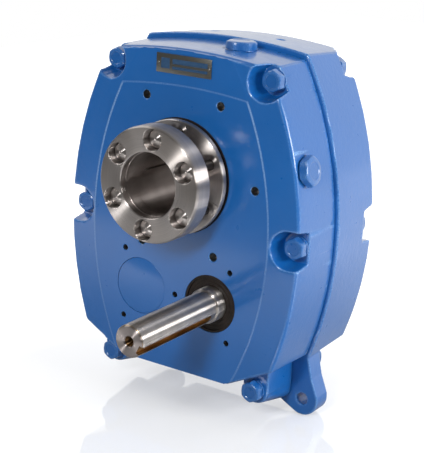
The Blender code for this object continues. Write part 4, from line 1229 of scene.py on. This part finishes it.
def nameplate():
    """A plate with a bevelled rim, dark fields without lettering, and two rivets."""
    low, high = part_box("nameplate")
    front = low.y / MM
    centre_z = (low.z + high.z) / 2 / MM
    width = (high.x - low.x) / MM
    tall = (high.z - low.z) / MM
    panel = ((0.0, front + 0.5, centre_z), (width, 0.6, tall))
    piece = link("plate_panel", bars([panel]), PLATE)
    bevelled(piece, 0.15, 2)
    done(piece, "housing", "nameplate", "nameplate")
    badge = (-width / 2 + PLATE_BADGE_INSET, 0.0, PLATE_BADGE, PLATE_BADGE)
    rows = [
        ((x, front + PLATE_INK, centre_z + up), (field_width, PLATE_INK, field_height))
        for x, up, field_width, field_height in (badge, *PLATE_FIELDS)
    ]
    fields = link("plate_fields", bars(rows), INK)
    bevelled(fields, 0.06, 1)
    done(fields, "housing", "nameplate")
    for name, side in (("plate_rivet_left", -1.0), ("plate_rivet_right", 1.0)):
        axis = (side * (width / 2 - RIVET_INSET), centre_z)
        crown = ((0.0, -0.25), (0.7, -0.15), (1.2, 0.1), (1.3, 0.35), (0.0, 0.35))
        profile = [(radius, front + y) for radius, y in crown]
        done(turned(name, profile, axis, PLATE, 32), "housing", "nameplate")


# CAD nodes that keep their own shape


def carried_over():
    """Gives the CAD nodes that are still shown their materials."""
    choices = {
        "output_hub": STEEL,
        "countershaft": COUNTER_STEEL,
        "output_gear": GEAR,
        "countershaft_gear": GEAR,
    }
    for name, node in NODES.items():
        if node.hide_render:
            continue
        material = choices.get(name)
        if material is None:
            material = GEAR if name.endswith("rollers") else RING
        node.data.materials.clear()
        node.data.materials.append(material)
        soften(node.data, 30.0)


# Studio


def studio():
    """A white backdrop, dimmer towards the front of the room. The camera sees it as plain white."""
    scene = bpy.context.scene
    scene.view_settings.view_transform = "Standard"
    world = bpy.data.worlds.new("studio")
    world.use_nodes = True
    scene.world = world
    g = Graph(world.node_tree)
    _, y, z = g.split(g.add("ShaderNodeTexCoord").outputs["Generated"])
    depth = g.span(y, *ROOM_DEPTH, curve="SMOOTHSTEP")
    height = g.span(z, *ROOM_HEIGHT, curve="SMOOTHSTEP")
    background = g.tree.nodes["Background"]
    g.feed(background.inputs["Color"], WHITE)
    g.feed(background.inputs["Strength"], g.math("MAXIMUM", g.times(depth, height), g.seen()))


def lights():
    """Rectangular softboxes that face the gearbox."""
    for name, (way, size, watts, roll) in LIGHTS.items():
        data = bpy.data.lights.new(name, "AREA")
        data.shape = "RECTANGLE"
        data.size = size[0]
        data.size_y = size[1]
        data.energy = watts
        lamp = bpy.data.objects.new(name, data)
        place = Vector(way).normalized() * LIGHT_DISTANCE
        lamp.location = place + LIGHT_TARGET
        rolled = Matrix.Rotation(math.radians(roll), 3, "Z")
        turn = place.to_track_quat("Z", "Y").to_matrix() @ rolled
        lamp.rotation_euler = turn.to_euler()
        bpy.context.scene.collection.objects.link(lamp)


def floor_material():
    """A glossy white sheet that glows, so that the camera sees a pale floor which fades out."""
    s = Shader("pale_floor")
    at = s.place()
    seen = s.seen()
    x, y, _ = s.split(at)
    away = s.length(x, y)
    front = s.span(y, -0.42, -0.12, 0.8, 0.0)
    unseen = s.plus(front, s.span(away, 0.28, 0.6, 0.0, 0.55))
    for_room = s.times(unseen, s.minus(1.0, seen))
    for_camera = s.times(seen, s.span(away, 0.18, 0.45, 0.42, 0.9))
    pale = s.mix(s.noise(at, 3.0), (0.66, 0.67, 0.68), (0.70, 0.705, 0.71))
    s.set(
        Base_Color=s.mix(seen, (0.42, 0.43, 0.44), pale),
        Roughness=0.03,
        IOR=2.0,
        Emission_Color=WHITE,
        Emission_Strength=s.plus(for_room, for_camera),
    )
    return s.material


def floor():
    """The sheet under the gearbox, which ends a little way in front of it."""
    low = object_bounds()[0]
    x0, x1, y0, y1 = FLOOR_REACH
    middle = ((x0 + x1) / 2, (y0 + y1) / 2, -FLOOR_THICKNESS / 2)
    size = Matrix.Diagonal((x1 - x0, y1 - y0, FLOOR_THICKNESS, 1.0))
    shape = bmesh.new()
    bmesh.ops.create_cube(shape, size=1.0, matrix=Matrix.Translation(middle) @ size)
    piece = link("floor", finish_mesh(shape, "floor"), floor_material())
    piece.location = (0.0, 0.0, low[2] - FLOOR_GAP)
    piece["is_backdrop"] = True


def camera():
    back = Vector((
        math.sin(AZIMUTH) * math.cos(ELEVATION),
        -math.cos(AZIMUTH) * math.cos(ELEVATION),
        math.sin(ELEVATION),
    ))
    right = (-back).cross(Vector((0.0, 0.0, 1.0))).normalized()
    up = right.cross(-back)
    place = back * DISTANCE + right * SHIFT[0] + up * SHIFT[1]
    rolled_right = right * math.cos(ROLL) + up * math.sin(ROLL)
    rolled_up = up * math.cos(ROLL) - right * math.sin(ROLL)
    data = bpy.data.cameras.new("camera")
    data.sensor_fit = "HORIZONTAL"
    data.sensor_width = SENSOR
    data.lens = LENS
    data.clip_end = CLIP_END
    item = bpy.data.objects.new("camera", data)
    turn = Matrix((rolled_right, rolled_up, back)).transposed().to_4x4()
    item.matrix_world = Matrix.Translation(place) @ turn
    bpy.context.scene.collection.objects.link(item)
    bpy.context.scene.camera = item


front_casting()
rear_casting()
housing_fasteners()
oil_plugs()
bushing()
socket_screws()
thrust_collar()
input_shaft()
seals()
covers()
nameplate()
carried_over()
studio()
lights()
floor()
camera()
